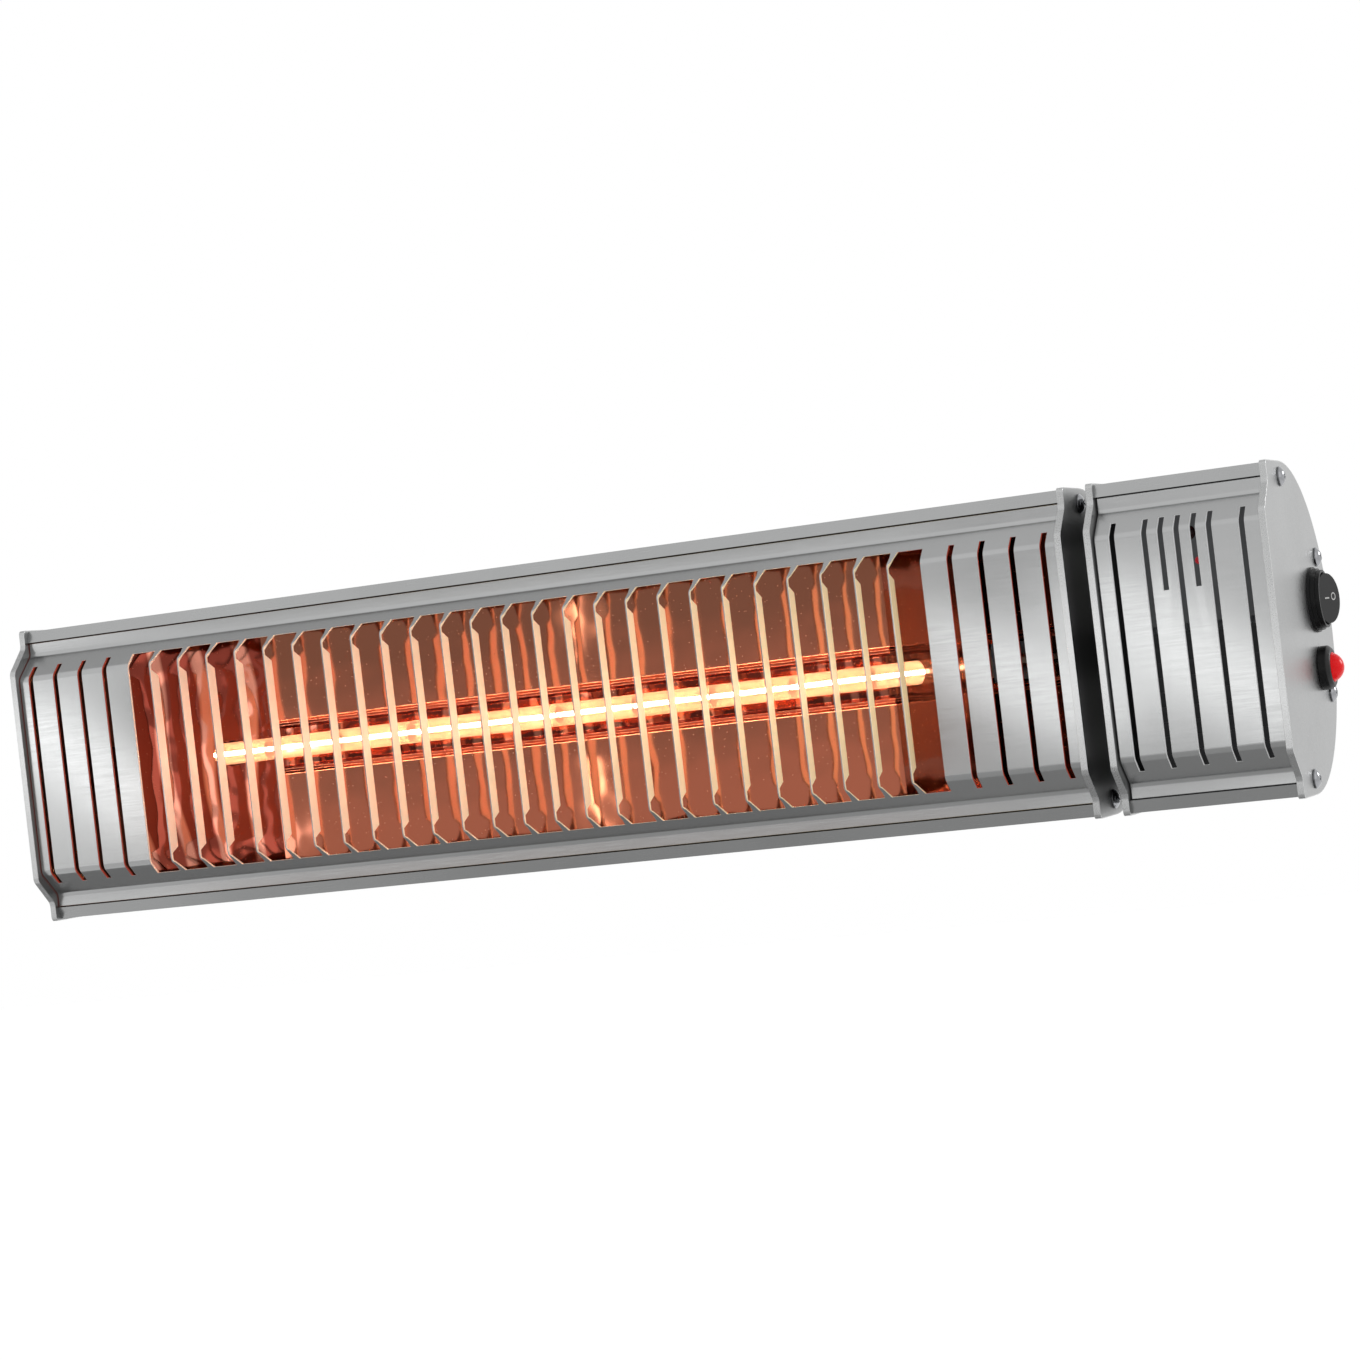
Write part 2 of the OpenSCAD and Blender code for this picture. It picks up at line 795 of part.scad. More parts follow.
module lamp_tube() color([0.95, 0.9, 0.8, 0.4]) in_case() {
    inner_r = lamp_r - glass_t;
    tip_r = pinch_t / 2;
    start = lamp_margin - lamp_taper;
    difference() {
        union() {
            translate([start, lamp_y, 0]) rotate([0, 90, 0]) {
                rotate_extrude() lamp_profile_2d(lamp_r, lamp_l, lamp_taper, tip_r + glass_t);
            }
            both_ends() {
                block([pinch_x, lamp_y - pinch_t / 2, -pinch_w / 2], [pinch_l - merge, pinch_t, pinch_w]);
            }
        }
        translate([start + glass_t, lamp_y, 0]) rotate([0, 90, 0]) {
            rotate_extrude() lamp_profile_2d(inner_r, lamp_l, lamp_taper - glass_t, pin_r + 2 * fit);
        }
        both_ends() rod_x(pinch_x - overrun, pinch_l, pin_r + fit, lamp_y, 0);
    }
}

module lamp_filament() color("#ffe9b0") in_case() {
    rod_x(lamp_margin + loose, lamp_l - 2 * loose, filament_r, lamp_y, 0);
}

module filament_supports() color(steel) in_case() {
    spacing = lamp_l / (support_count + 1);
    for (i = [1 : support_count]) {
        x = lamp_margin + i * spacing;
        difference() {
            rod_x(x, support_t, lamp_r - glass_t - fit, lamp_y, 0);
            rod_x(x - overrun, support_t + 2 * overrun, filament_r + fit, lamp_y, 0);
        }
    }
}

module lamp_pins() color(steel) in_case() {
    start = end_cap_x0 + end_cap_l / 4;
    both_ends() rod_x(start, lamp_margin - start + loose, pin_r, lamp_y, 0);
}

module lamp_caps() color(ceramic_white) in_case() both_ends() {
    grip = [pinch_grip + overrun, pinch_t + 2 * fit, pinch_w + 2 * fit];
    difference() {
        rod_x(end_cap_x0, end_cap_l, end_cap_r, lamp_y, 0);
        block([end_cap_x0 + end_cap_l - pinch_grip, lamp_y - grip[1] / 2, -grip[2] / 2], grip);
        rod_x(end_cap_x0 + end_cap_l / 4, end_cap_l, pin_r + fit, lamp_y, 0);
    }
}

// Sheet steel angle that carries each lamp cap from the reflector's floor
module lamp_brackets() color(steel) in_case() both_ends() {
    front = lamp_y - end_cap_r - bracket_margin;
    difference() {
        union() {
            block([bracket_x0, front, -bracket_half], [bracket_t, floor_y - front, 2 * bracket_half]);
            block([bracket_x0 - bracket_foot, floor_y - bracket_t, -bracket_half],
                [bracket_foot + bracket_t, bracket_t, 2 * bracket_half]);
        }
        rod_x(bracket_x0 - overrun, bracket_t + 2 * overrun, end_cap_r + fit, lamp_y, 0);
        rod_y(floor_y - bracket_t - overrun, bracket_t + 2 * overrun, m3_r + 2 * fit, foot_screw_x, 0);
    }
}

module bracket_screws() color(steel) in_case() both_ends() {
    back = floor_y + reflector_t;
    rod_y(floor_y - bracket_t - m3_head_h, m3_head_h, m3_head_r, foot_screw_x, 0);
    rod_y(floor_y - bracket_t - merge, bracket_t + reflector_t + m3_nut_h + merge, m3_r, foot_screw_x, 0);
    translate([foot_screw_x, back, 0]) rotate([-90, 0, 0]) hexagon(m3_nut_r * sqrt(3), m3_nut_h);
}

// Sleeved leads: from each lamp cap through the reflector and the conduit to the terminals,
// with the thermal cut-out in the right-hand one
cutout_blade_x = heater_l - cutout_reach;
block_x = part_x0 + block_size[0] / 4;
lead_end = [block_x, board_back + block_size[1] / 2, block_z + block_size[2]];
module lamp_leads() color("#d8d2c4") in_case() {
    turn_x = inside_x0 + 2 * conduit_reach;
    turn_z = -lead_z - lead_bend;
    far_x = heater_l - lead_x;
    back_x = heater_l - return_x;
    tab_y = cutout_r / 2;
    next_pole = [block_size[0] / 3, 0, 0];
    wire([
        [end_cap_x0, lamp_y, 0], [lead_x, lamp_y, 0], [lead_x, lead_y, 0],
        [lead_x + lead_bend, lead_y, -lead_z],
        [turn_x, lead_y, -lead_z], [lead_end[0], lead_end[1], turn_z], lead_end]);
    wire([
        [heater_l - end_cap_x0, lamp_y, 0], [far_x, lamp_y, 0], [far_x, jumper_y, 0],
        [far_x, cutout_y + tab_y, cutout_z], [cutout_blade_x, cutout_y + tab_y, cutout_z]]);
    wire([
        [cutout_blade_x, cutout_y - tab_y, cutout_z], [back_x, cutout_y - tab_y, cutout_z],
        [back_x, lead_y, lead_z], [turn_x, lead_y, lead_z],
        [lead_end[0], lead_end[1], turn_z] + next_pole, lead_end + next_pole]);
}

module thermal_cutout() color(steel) in_case() {
    x = heater_l - plate_t;
    rod_x(x - cutout_flange_t, cutout_flange_t, cutout_flange_r, cutout_y, cutout_z);
    rod_x(x - cutout_t - cutout_flange_t, cutout_t + merge, cutout_r, cutout_y, cutout_z);
    for (s = [-1, 1]) {
        block([cutout_blade_x, cutout_y + s * cutout_r / 2 - blade_t / 2, cutout_z - blade_w / 2],
            [blade_l + merge, blade_t, blade_w]);
    }
}

// Spacers, bolts and conduit that join the two sections
module section_spacers() color(steel) in_case() for (p = spacer_places) difference() {
    rod_x(heater_l, section_gap, spacer_r, p[0], p[1] * spacer_z);
    rod_x(heater_l - overrun, section_gap + 2 * overrun, m5_clear_r, p[0], p[1] * spacer_z);
}

module section_bolts() color(steel) in_case() for (p = spacer_places) {
    x = heater_l - plate_t;
    rod_x(x - m5_head_h, m5_head_h, m5_head_r, p[0], p[1] * spacer_z);
    rod_x(x - merge, section_gap + 2 * plate_t + m5_nut_h + merge, m5_r, p[0], p[1] * spacer_z);
}

module section_nuts() color(steel) in_case() for (p = spacer_places) difference() {
    translate([inside_x0, p[0], p[1] * spacer_z]) rotate([0, 90, 0]) hexagon(2 * m5_head_r, m5_nut_h);
    rod_x(inside_x0 - overrun, m5_nut_h + 2 * overrun, m5_r, p[0], p[1] * spacer_z);
}

module wire_conduit() color(black) in_case() {
    past = plate_t + conduit_reach;
    difference() {
        union() {
            rod_x(heater_l - past, section_gap + 2 * past, conduit_r, conduit_y, 0);
            rod_x(heater_l, section_gap, conduit_collar_r, conduit_y, 0);
        }
        rod_x(heater_l - past - overrun, section_gap + 2 * (past + overrun), conduit_bore_r, conduit_y, 0);
    }
}

// Control box contents
module control_chassis() color(steel) in_case() {
    size = [inside_l - 2 * loose, chassis_t, 2 * chassis_half];
    block([inside_x0 + loose, chassis_y, -chassis_half], size);
}

module heat_sink() color(black) in_case() {
    l = inside_l - 2 * side_gap;
    x = inside_x0 + side_gap;
    fins = floor((sink_h - fin_t) / fin_pitch);
    block([x, chassis_y - sink_base, sink_top - sink_h], [l, sink_base, sink_h]);
    fin_d = chassis_y - sink_base - fin_front + merge;
    for (i = [0 : fins]) block([x, fin_front, sink_top - fin_t - i * fin_pitch], [l, fin_d, fin_t]);
}

module receiver_housing() color("#4a4d50") in_case() {
    l = inside_l - 2 * side_gap;
    x = inside_x0 + side_gap;
    d = chassis_y - receiver_front;
    difference() {
        block([x, receiver_front, receiver_z0], [l, d, receiver_h]);
        block([x + receiver_wall, receiver_front + receiver_wall, receiver_z0 + receiver_wall],
            [l - 2 * receiver_wall, d, receiver_h - 2 * receiver_wall]);
        rod_y(receiver_front - overrun, receiver_wall + 2 * overrun, lens_r + fit, control_mid, lens_z);
        rod_y(receiver_front - overrun, receiver_wall + 2 * overrun, led_r + fit, led_x, led_z);
    }
}

// Round-nosed window in the housing's front wall, with a collar behind it
module nose(r, x, z) {
    rod_y(receiver_front, receiver_wall, r, x, z);
    rod_y(receiver_front + receiver_wall, receiver_wall, r + receiver_wall / 2, x, z);
    translate([x, receiver_front + merge, z]) intersection() {
        scale_r = (r * r + bump_proud * bump_proud) / (2 * bump_proud);
        translate([0, scale_r - bump_proud - merge, 0]) sphere(scale_r);
        rotate([90, 0, 0]) cylinder(h = bump_proud + merge, r = r);
    }
}

module receiver_lens() color("#3a0f12") in_case() nose(lens_r, control_mid, lens_z);
module status_led() color("#d02030") in_case() nose(led_r, led_x, led_z);

module at_board_corners() {
    dx = board_w / 2 - board_inset;
    dz = board_h / 2 - board_inset;
    for (sx = [-1, 1], sz = [-1, 1]) translate([control_mid + sx * dx, 0, sz * dz]) children();
}

module circuit_board() color("#2f6b3c") in_case() difference() {
    block([control_mid - board_w / 2, board_y, -board_h / 2], [board_w, board_t, board_h]);
    at_board_corners() rod_y(board_y - overrun, board_t + 2 * overrun, m3_r + 2 * fit, 0, 0);
}

module board_spacers() color(brass) in_case() at_board_corners() difference() {
    rod_y(chassis_y + chassis_t, board_stand, board_spacer_r, 0, 0);
    rod_y(chassis_y + chassis_t + board_stand / 3, board_stand, m3_r, 0, 0);
}

module board_screws() color(steel) in_case() at_board_corners() {
    rod_y(board_back, m3_head_h, m3_head_r, 0, 0);
    rod_y(board_back - board_t - board_stand / 2, board_t + board_stand / 2 + merge, m3_r, 0, 0);
}

module relay() color("#24384f") in_case() block([part_x0, board_back, relay_z], relay_size);

module capacitor() color("#31343a") in_case() {
    rod_y(board_back, capacitor_l, capacitor_r, part_x0 + relay_size[0] / 2, capacitor_z);
}

module triac() color(black) in_case() {
    block([control_mid - triac_size[0] / 2, chassis_y + chassis_t, triac_z], triac_size);
}

module terminal_block() color("#d9d6cc") in_case() difference() {
    block([part_x0, board_back, block_z], block_size);
    for (i = [0, 1, 2]) {
        rod_y(board_back + block_size[1] / 2 + block_pole_r, block_size[1], block_pole_r,
            part_x0 + (i + 1) * block_size[0] / 4, block_z + block_size[2] / 2);
    }
}

// Leads from the terminal block to the switch and the button
switch_end_x = total_l - switch_body_d - blade_l;
button_end_x = total_l - barrel_d - blade_l;
module control_wires() color("#8a4b2a") in_case() {
    top = block_z + block_size[2];
    x = part_x0 + block_size[0];
    y = board_back + block_size[1] / 2;
    bend = lead_bend / 2;
    from_switch = [switch_end_x, panel_y - switch_blade_dy, switch_z];
    from_button = [button_end_x, panel_y - button_blade_dy, button_z];
    wire([
        from_switch, from_switch - [bend, 0, 0],
        [x - 4 * lead_r, y, 0], [x - 4 * lead_r, y, top]]);
    wire([
        from_button, from_button - [bend, 0, 0],
        [x - lead_r, y, (button_z + top) / 2], [x - lead_r, y, top]]);
}

// Rocker switch
module switch_housing() color(black) in_case() difference() {
    union() {
        for (s = switch_steps) rod_x(total_l, s[1], s[0], panel_y, switch_z);
        rod_x(total_l - switch_body_d, switch_body_d + merge, switch_body_r, panel_y, switch_z);
    }
    rod_x(total_l + switch_floor, switch_top - switch_floor + overrun, switch_open_r, panel_y, switch_z);
    well = [rocker_stem_d + switch_top, rocker_stem_w + 2 * stem_room, rocker_stem_h + 2 * loose];
    block([total_l - rocker_stem_d, panel_y - well[1] / 2, switch_z - well[2] / 2], well);
    translate([total_l + rocker_pivot, panel_y, switch_z - rocker_pin_half]) {
        cylinder(h = 2 * rocker_pin_half, r = rocker_pin_r + fit / 2, $fn = small_fn);
    }
}

module rocker_pin() color(steel) in_case() {
    translate([total_l + rocker_pivot, panel_y, switch_z - rocker_pin_half + fit]) {
        cylinder(h = 2 * (rocker_pin_half - fit), r = rocker_pin_r, $fn = small_fn);
    }
}

// The rocker at rest has its front half pressed in
module switch_rocker() color("#1b1c1e") in_case() {
    stem_end = rocker_stem_d - stem_room;
    translate([total_l + rocker_pivot, panel_y, switch_z]) rotate([0, 0, -rocker_swing / 2]) {
        translate([-rocker_pivot, 0, 0]) difference() {
            union() {
                rod_x(rocker_bottom, rocker_face - rocker_bottom, rocker_r, 0, 0);
                block([-stem_end, -rocker_stem_w / 2, -rocker_stem_h / 2],
                    [stem_end + rocker_bottom + merge, rocker_stem_w, rocker_stem_h]);
            }
            translate([rocker_pivot, 0, -rocker_r - overrun]) {
                cylinder(h = 2 * (rocker_r + overrun), r = rocker_pin_r + fit, $fn = small_fn);
            }
        }
    }
}

module contact_blades(x, dy, z) {
    for (s = [-1, 1]) {
        block([x - blade_l, panel_y + s * dy - blade_t / 2, z - blade_w / 2], [blade_l, blade_t, blade_w]);
    }
}

module switch_terminals() color(brass) in_case() {
    contact_blades(total_l - switch_body_d, switch_blade_dy, switch_z);
}
module button_terminals() color(brass) in_case() {
    contact_blades(total_l - barrel_d, button_blade_dy, button_z);
}

// Push button: a threaded barrel through the plate, with the spring-loaded cap in its bore
cap_bottom = bezel_h - cap_skirt;
chamber_top = cap_bottom - button_travel - loose;
module button_body() color(black) in_case() difference() {
    union() {
        rod_x(total_l, bezel_h - bezel_chamfer, bezel_r, panel_y, button_z);
        translate([total_l + bezel_h - bezel_chamfer, panel_y, button_z]) rotate([0, 90, 0]) {
            cylinder(h = bezel_chamfer, r1 = bezel_r, r2 = bezel_r - bezel_chamfer);
        }
        rod_x(total_l - barrel_d, barrel_d + merge, barrel_r, panel_y, button_z);
    }
    rod_x(total_l + chamber_top, bezel_h - chamber_top + overrun, cap_bore_r, panel_y, button_z);
    rod_x(total_l + chamber_top - chamber_d, chamber_d + merge, chamber_r, panel_y, button_z);
}

module button_nut() color(steel) in_case() {
    x = total_l - plate_t - button_nut_t;
    difference() {
        translate([x, panel_y, button_z]) rotate([0, 90, 0]) hexagon(button_nut_af, button_nut_t);
        rod_x(x - overrun, button_nut_t + 2 * overrun, barrel_r, panel_y, button_z);
    }
}

module button_cap() color("#d4141c") in_case() {
    edge_r = cap_r - cap_rim;
    dome_r = (edge_r * edge_r + cap_dome * cap_dome) / (2 * cap_dome);
    translate([total_l, panel_y, button_z]) rotate([0, 90, 0]) rotate_extrude() {
        translate([0, cap_bottom]) square([cap_r, cap_skirt]);
        intersection() {
            translate([0, bezel_h + cap_dome - dome_r]) circle(dome_r);
            translate([0, bezel_h - merge]) square([2 * cap_r, 2 * cap_dome]);
        }
    }
}

module button_spring() color(steel) in_case() {
    low = chamber_top - chamber_d + spring_wire_r;
    rise = cap_bottom - spring_wire_r - low;
    steps = spring_turns * spring_steps;
    helix = [for (i = [0 : steps]) let (a = 360 * i / spring_steps)
        [low + rise * i / steps, spring_coil_r * cos(a), spring_coil_r * sin(a)]];
    translate([total_l, panel_y, button_z]) swept(helix, spring_wire_r, spring_sides);
}

// Cable gland
module gland_body() color(black) in_case() at_gland(gland_pad_out) difference() {
    union() {
        translate([0, 0, -gland_thread_l]) cylinder(h = gland_thread_l + merge, r = gland_thread_r);
        hexagon(gland_hex_af, gland_hex_h);
        cylinder(h = gland_hex_h + gland_neck_h, r = gland_neck_r);
    }
    translate([0, 0, -gland_thread_l - overrun]) {
        cylinder(h = gland_thread_l + gland_hex_h + gland_neck_h + 2 * overrun, r = gland_bore_r);
    }
}

module gland_nut() color(black) in_case() at_gland(gland_pad_in - gland_nut_h) difference() {
    hexagon(gland_nut_af, gland_nut_h);
    translate([0, 0, -overrun]) cylinder(h = gland_nut_h + 2 * overrun, r = gland_thread_r);
}

gland_cap_z = gland_pad_out + gland_hex_h;
module gland_cap() color(black) in_case() at_gland(gland_cap_z) difference() {
    cylinder(h = gland_cap_h, r = gland_cap_r);
    translate([0, 0, -overrun]) cylinder(h = gland_cap_h - gland_cap_roof + overrun, r = gland_neck_r + fit);
    cylinder(h = gland_cap_h + overrun, r = cord_hole_r);
}

module gland_seal() color("#3a3a3a") in_case() at_gland(gland_cap_z + gland_neck_h) {
    seal_h = gland_cap_h - gland_cap_roof - gland_neck_h;
    difference() {
        cylinder(h = seal_h, r = gland_neck_r);
        translate([0, 0, -overrun]) cylinder(h = seal_h + 2 * overrun, r = cord_hole_r);
    }
}

// Wall bracket: stations at X = +-station_span / 2 in the part's frame
module at_stations() {
    for (s = [-1, 1]) translate([s * station_span / 2, -wall_reach, 0]) children();
}

module at_ears() {
    at_stations() for (x = [-ear_out, ear_in]) translate([x, 0, 0]) children();
}

module ear_2d(r, reach) {
    circle(r);
    translate([0, -r]) square([reach, 2 * r]);
}

module wall_plate() color("#5d6265") difference() {
    union() {
        along_y(-wall_plate_t, wall_plate_t) {
            polygon(rounded([[-wall_plate_l / 2, -wall_plate_h / 2], [wall_plate_l / 2, -wall_plate_h / 2],
                [wall_plate_l / 2, wall_plate_h / 2], [-wall_plate_l / 2, wall_plate_h / 2]],
                [for (i = [0 : 3]) wall_corner_r]));
        }
        at_ears() along_x(0, wall_plate_t) ear_2d(ear_r, wall_reach - wall_plate_t / 2);
    }
    for (sx = [-1, 1], sz = [-1, 1]) translate([sx * wall_hole_dx / 2, 0, sz * wall_hole_dz / 2]) {
        rod_y(-wall_plate_t - overrun, wall_plate_t + 2 * overrun, wall_hole_r, 0, 0);
    }
    at_ears() rod_x(-overrun, wall_plate_t + 2 * overrun, m6_running_r, 0, 0);
}

// The bolt's head is inside, and its threaded end carries the knob outside
module mirrored_stations() {
    for (side = [0, 1]) mirror([side, 0, 0]) translate([station_span / 2, -wall_reach, 0]) children();
}

module pivot_bolts() color(steel) mirrored_stations() {
    translate([-ear_out - m6_head_h, 0, 0]) rotate([0, 90, 0]) hexagon(m6_head_af, m6_head_h);
    rod_x(-ear_out - merge, 2 * ear_out + washer_t + knob_h - m6_proud + merge, m6_r, 0, 0);
}

module pivot_washers() color(steel) mirrored_stations() difference() {
    rod_x(ear_out, washer_t, washer_r, 0, 0);
    rod_x(ear_out - overrun, washer_t + 2 * overrun, m6_r + fit, 0, 0);
}

module tilt_knobs() color(black) mirrored_stations() {
    x = ear_out + washer_t;
    lobe_d = knob_r - knob_lobe_r;
    difference() {
        union() {
            rod_x(x, knob_h, knob_r - knob_lobe_r / 2, 0, 0);
            for (i = [0 : knob_lobes - 1]) let (a = 360 * i / knob_lobes) {
                rod_x(x, knob_h, knob_lobe_r, lobe_d * cos(a), lobe_d * sin(a));
            }
        }
        rod_x(x - overrun, knob_h - m6_proud + overrun, m6_r, 0, 0);
    }
}

module tilt_arms() color("#5d6265") at_stations() difference() {
    union() {
        block([-arm_half_x, -arm_reach, -arm_half_z], [2 * arm_half_x, arm_t, 2 * arm_half_z]);
        for (x = [-arm_half_x, arm_half_x - arm_t]) {
            along_x(x, arm_t) mirror([1, 0]) ear_2d(arm_half_z, arm_reach);
        }
    }
    rod_x(-arm_half_x - overrun, 2 * (arm_half_x + overrun), m6_running_r, 0, 0);
    for (s = [-1, 1]) rod_y(-arm_reach - overrun, arm_t + 2 * overrun, m6_clear_r, s * arm_bolt_dx, 0);
}

module arm_bolts() color(steel) at_stations() for (s = [-1, 1]) {
    head_y = -arm_reach - tslot_skin - m6_head_h;
    translate([s * arm_bolt_dx, head_y, 0]) rotate([-90, 0, 0]) {
        hexagon(m6_head_af, m6_head_h);
        cylinder(h = m6_head_h + tslot_skin + arm_t + m6_nut_h + m6_proud, r = m6_r);
    }
}

module arm_nuts() color(steel) at_stations() for (s = [-1, 1]) difference() {
    translate([s * arm_bolt_dx, arm_t - arm_reach, 0]) rotate([-90, 0, 0]) hexagon(m6_head_af, m6_nut_h);
    rod_y(-arm_reach, arm_t + m6_nut_h + overrun, m6_r, s * arm_bolt_dx, 0);
}

wall_plate();
pivot_bolts();
pivot_washers();
tilt_knobs();
tilt_arms();
arm_bolts();
arm_nuts();
rear_shell();
left_end_plate();
heater_right_plate();
front_grille();
heater_plate_screws();
reflector();
lamp_tube();
lamp_filament();
filament_supports();
lamp_pins();
lamp_caps();
lamp_brackets();
bracket_screws();
lamp_leads();
thermal_cutout();
section_spacers();
section_bolts();
section_nuts();
wire_conduit();
control_shell();
control_left_plate();
control_right_plate();
control_cover();
control_plate_screws();
control_chassis();
heat_sink();
receiver_housing();
receiver_lens();
status_led();
circuit_board();
board_spacers();
board_screws();
relay();
capacitor();
triac();
terminal_block();
control_wires();
switch_housing();
switch_terminals();
rocker_pin();
switch_rocker();
button_body();
button_nut();
button_cap();
button_spring();
button_terminals();
gland_body();
gland_nut();
gland_seal();
gland_cap();
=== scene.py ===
# %% [markdown]
# # A wall-mounted electric bar heater
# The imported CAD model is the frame: it carries every piece at its real size and on
# its own moving body. This notebook loads it, gives each piece the finish of the real
# thing, and rebuilds the pieces whose small forms a plain solid can't show. Lengths
# are written in millimetres and turned to metres by one factor.

# %% Load the frame
import json
import math

import bmesh
import bpy
from mathutils import Euler, Matrix, Vector

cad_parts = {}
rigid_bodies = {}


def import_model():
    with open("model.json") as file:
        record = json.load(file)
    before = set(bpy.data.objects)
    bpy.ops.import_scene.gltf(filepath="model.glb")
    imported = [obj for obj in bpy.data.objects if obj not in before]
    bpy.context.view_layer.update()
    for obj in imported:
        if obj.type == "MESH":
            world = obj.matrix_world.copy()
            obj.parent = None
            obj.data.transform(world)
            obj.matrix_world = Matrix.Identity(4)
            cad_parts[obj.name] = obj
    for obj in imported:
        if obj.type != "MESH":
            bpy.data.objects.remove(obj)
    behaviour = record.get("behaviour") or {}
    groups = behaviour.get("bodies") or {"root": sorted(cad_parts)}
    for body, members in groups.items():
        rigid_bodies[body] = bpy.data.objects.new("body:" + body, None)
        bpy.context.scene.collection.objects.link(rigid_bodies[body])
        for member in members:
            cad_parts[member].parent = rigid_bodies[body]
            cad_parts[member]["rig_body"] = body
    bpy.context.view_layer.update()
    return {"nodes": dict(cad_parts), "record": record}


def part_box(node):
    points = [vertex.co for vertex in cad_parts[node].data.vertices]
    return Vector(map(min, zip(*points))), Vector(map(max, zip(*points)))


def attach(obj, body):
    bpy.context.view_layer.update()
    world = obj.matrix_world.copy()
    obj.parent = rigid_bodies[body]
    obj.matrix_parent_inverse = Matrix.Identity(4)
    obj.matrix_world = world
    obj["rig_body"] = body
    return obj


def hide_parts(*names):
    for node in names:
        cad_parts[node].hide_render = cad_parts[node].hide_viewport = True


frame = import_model()
nodes = frame["nodes"]
slot_of = {s["node"]: s["material_slot"] for s in frame["record"]["subparts"]}
MM = 0.001

# %% [markdown]
# ## Colours and nodes
# A colour picked from a screen is in sRGB, but a shader mixes light, which is linear.
# One function turns the hex value to linear. Another adds a node with its settings and
# feeds its sockets, each by a link or by a value, so that every finish below reads as a
# short list of what it is made of.


# %% Helpers for every finish
def linear(hex_colour):
    shares = [int(hex_colour[i : i + 2], 16) / 255 for i in (1, 3, 5)]
    light = [s / 12.92 if s < 0.04045 else ((s + 0.055) / 1.055) ** 2.4 for s in shares]
    return (*light, 1.0)


def feed(node, inputs):
    for key, value in inputs.items():
        if isinstance(value, bpy.types.NodeSocket):
            node.id_data.links.new(value, node.inputs[key])
        else:
            node.inputs[key].default_value = value


def add(tree, kind, inputs=None, **settings):
    node = tree.nodes.new(kind)
    for name, value in settings.items():
        setattr(node, name, value)
    feed(node, inputs or {})
    return node


def start_finish(name):
    finish = bpy.data.materials.new(name)
    finish.use_nodes = True
    tree = finish.node_tree
    place = add(tree, "ShaderNodeTexCoord").outputs["Object"]
    return finish, tree, tree.nodes["Principled BSDF"], place


# A Mix node has sockets for every type of value, and these are the ones for a colour.
MIX_A, MIX_B, MIX_OUT = 6, 7, 2
print("white is", linear("#ffffff")[:3])

# %% [markdown]
# ## One pattern behind most finishes
# Metal and plastic share a recipe: the colour drifts slowly over the piece, a finer
# grain changes how sharply it shines, and the same grain is a shallow relief. What
# differs is the size of the grain, its direction and its depth. So one function mixes
# two colours by a noise, the next takes all those sizes in millimetres, and each finish
# says what it is.

# %% A grained finish
# Nearly all of a noise pattern lies between these two values.
NOISE_LOW, NOISE_HIGH = 0.3, 0.7


def drifting(tree, place, size_mm, dark, light, detail=2.0):
    noise = add(tree, "ShaderNodeTexNoise", {
        "Vector": place, "Scale": 1 / (size_mm * MM), "Detail": detail,
    })
    mixed = add(tree, "ShaderNodeMix", {
        0: noise.outputs[0], MIX_A: linear(dark), MIX_B: linear(light),
    }, data_type="RGBA")
    return mixed.outputs[MIX_OUT]


def grained(
    name, dark, light, drift_mm, grain_mm, depth_mm, rough, metal=0.0, stretch=(1, 1, 1),
    **constants,
):
    finish, tree, shader, place = start_finish(name)
    shade = drifting(tree, place, drift_mm, dark, light, 3.0)
    along = add(tree, "ShaderNodeMapping", {"Vector": place, "Scale": stretch})
    grain = add(tree, "ShaderNodeTexNoise", {
        "Vector": along.outputs[0], "Scale": 1 / (grain_mm * MM), "Detail": 4.0,
    })
    sheen = add(tree, "ShaderNodeMapRange", {
        "Value": grain.outputs[0], "From Min": NOISE_LOW, "From Max": NOISE_HIGH,
        "To Min": rough[0], "To Max": rough[1],
    })
    relief = add(tree, "ShaderNodeBump", {"Height": grain.outputs[0], "Distance": depth_mm * MM})
    feed(shader, {
        "Base Color": shade, "Roughness": sheen.outputs[0], "Normal": relief.outputs[0],
        "Metallic": metal,
    })
    feed(shader, {socket.replace("_", " "): value for socket, value in constants.items()})
    return finish


print("noise is read from", NOISE_LOW, "to", NOISE_HIGH)

# %% [markdown]
# ## Anodised aluminium
# The casing is extruded and its covers are rolled sheet, both anodised: a bath grows a
# hard grey-white skin on the metal, and it shines softly. The die and the rollers leave
# faint lines along the metal, so the grain is stretched that way.

# %% Extrusion, sheet and ground edges
# The real lines are 0.1 mm apart, too fine for the picture, so they are 0.5 mm here.
extruded = grained(
    "anodised extrusion", "#adaeae", "#babbbb", 45, 0.5, 0.003, (0.2, 0.28), 1.0, (0.02, 1, 1),
)
# The sheet is the same grey with a shorter, softer grain.
sheet = grained(
    "anodised sheet", "#b7b8b8", "#c2c3c3", 60, 0.7, 0.0015, (0.18, 0.25), 1.0, (0.05, 1, 1),
)
# The front edge of each cast end plate is ground, and it is painted brighter than its
# sides as a highlight.
ground = grained("ground plate edge", "#c0c1c1", "#cdcece", 8, 0.5, 0.004, (0.24, 0.34), 1.0)
print("made", extruded.name, "and", sheet.name, "and", ground.name)
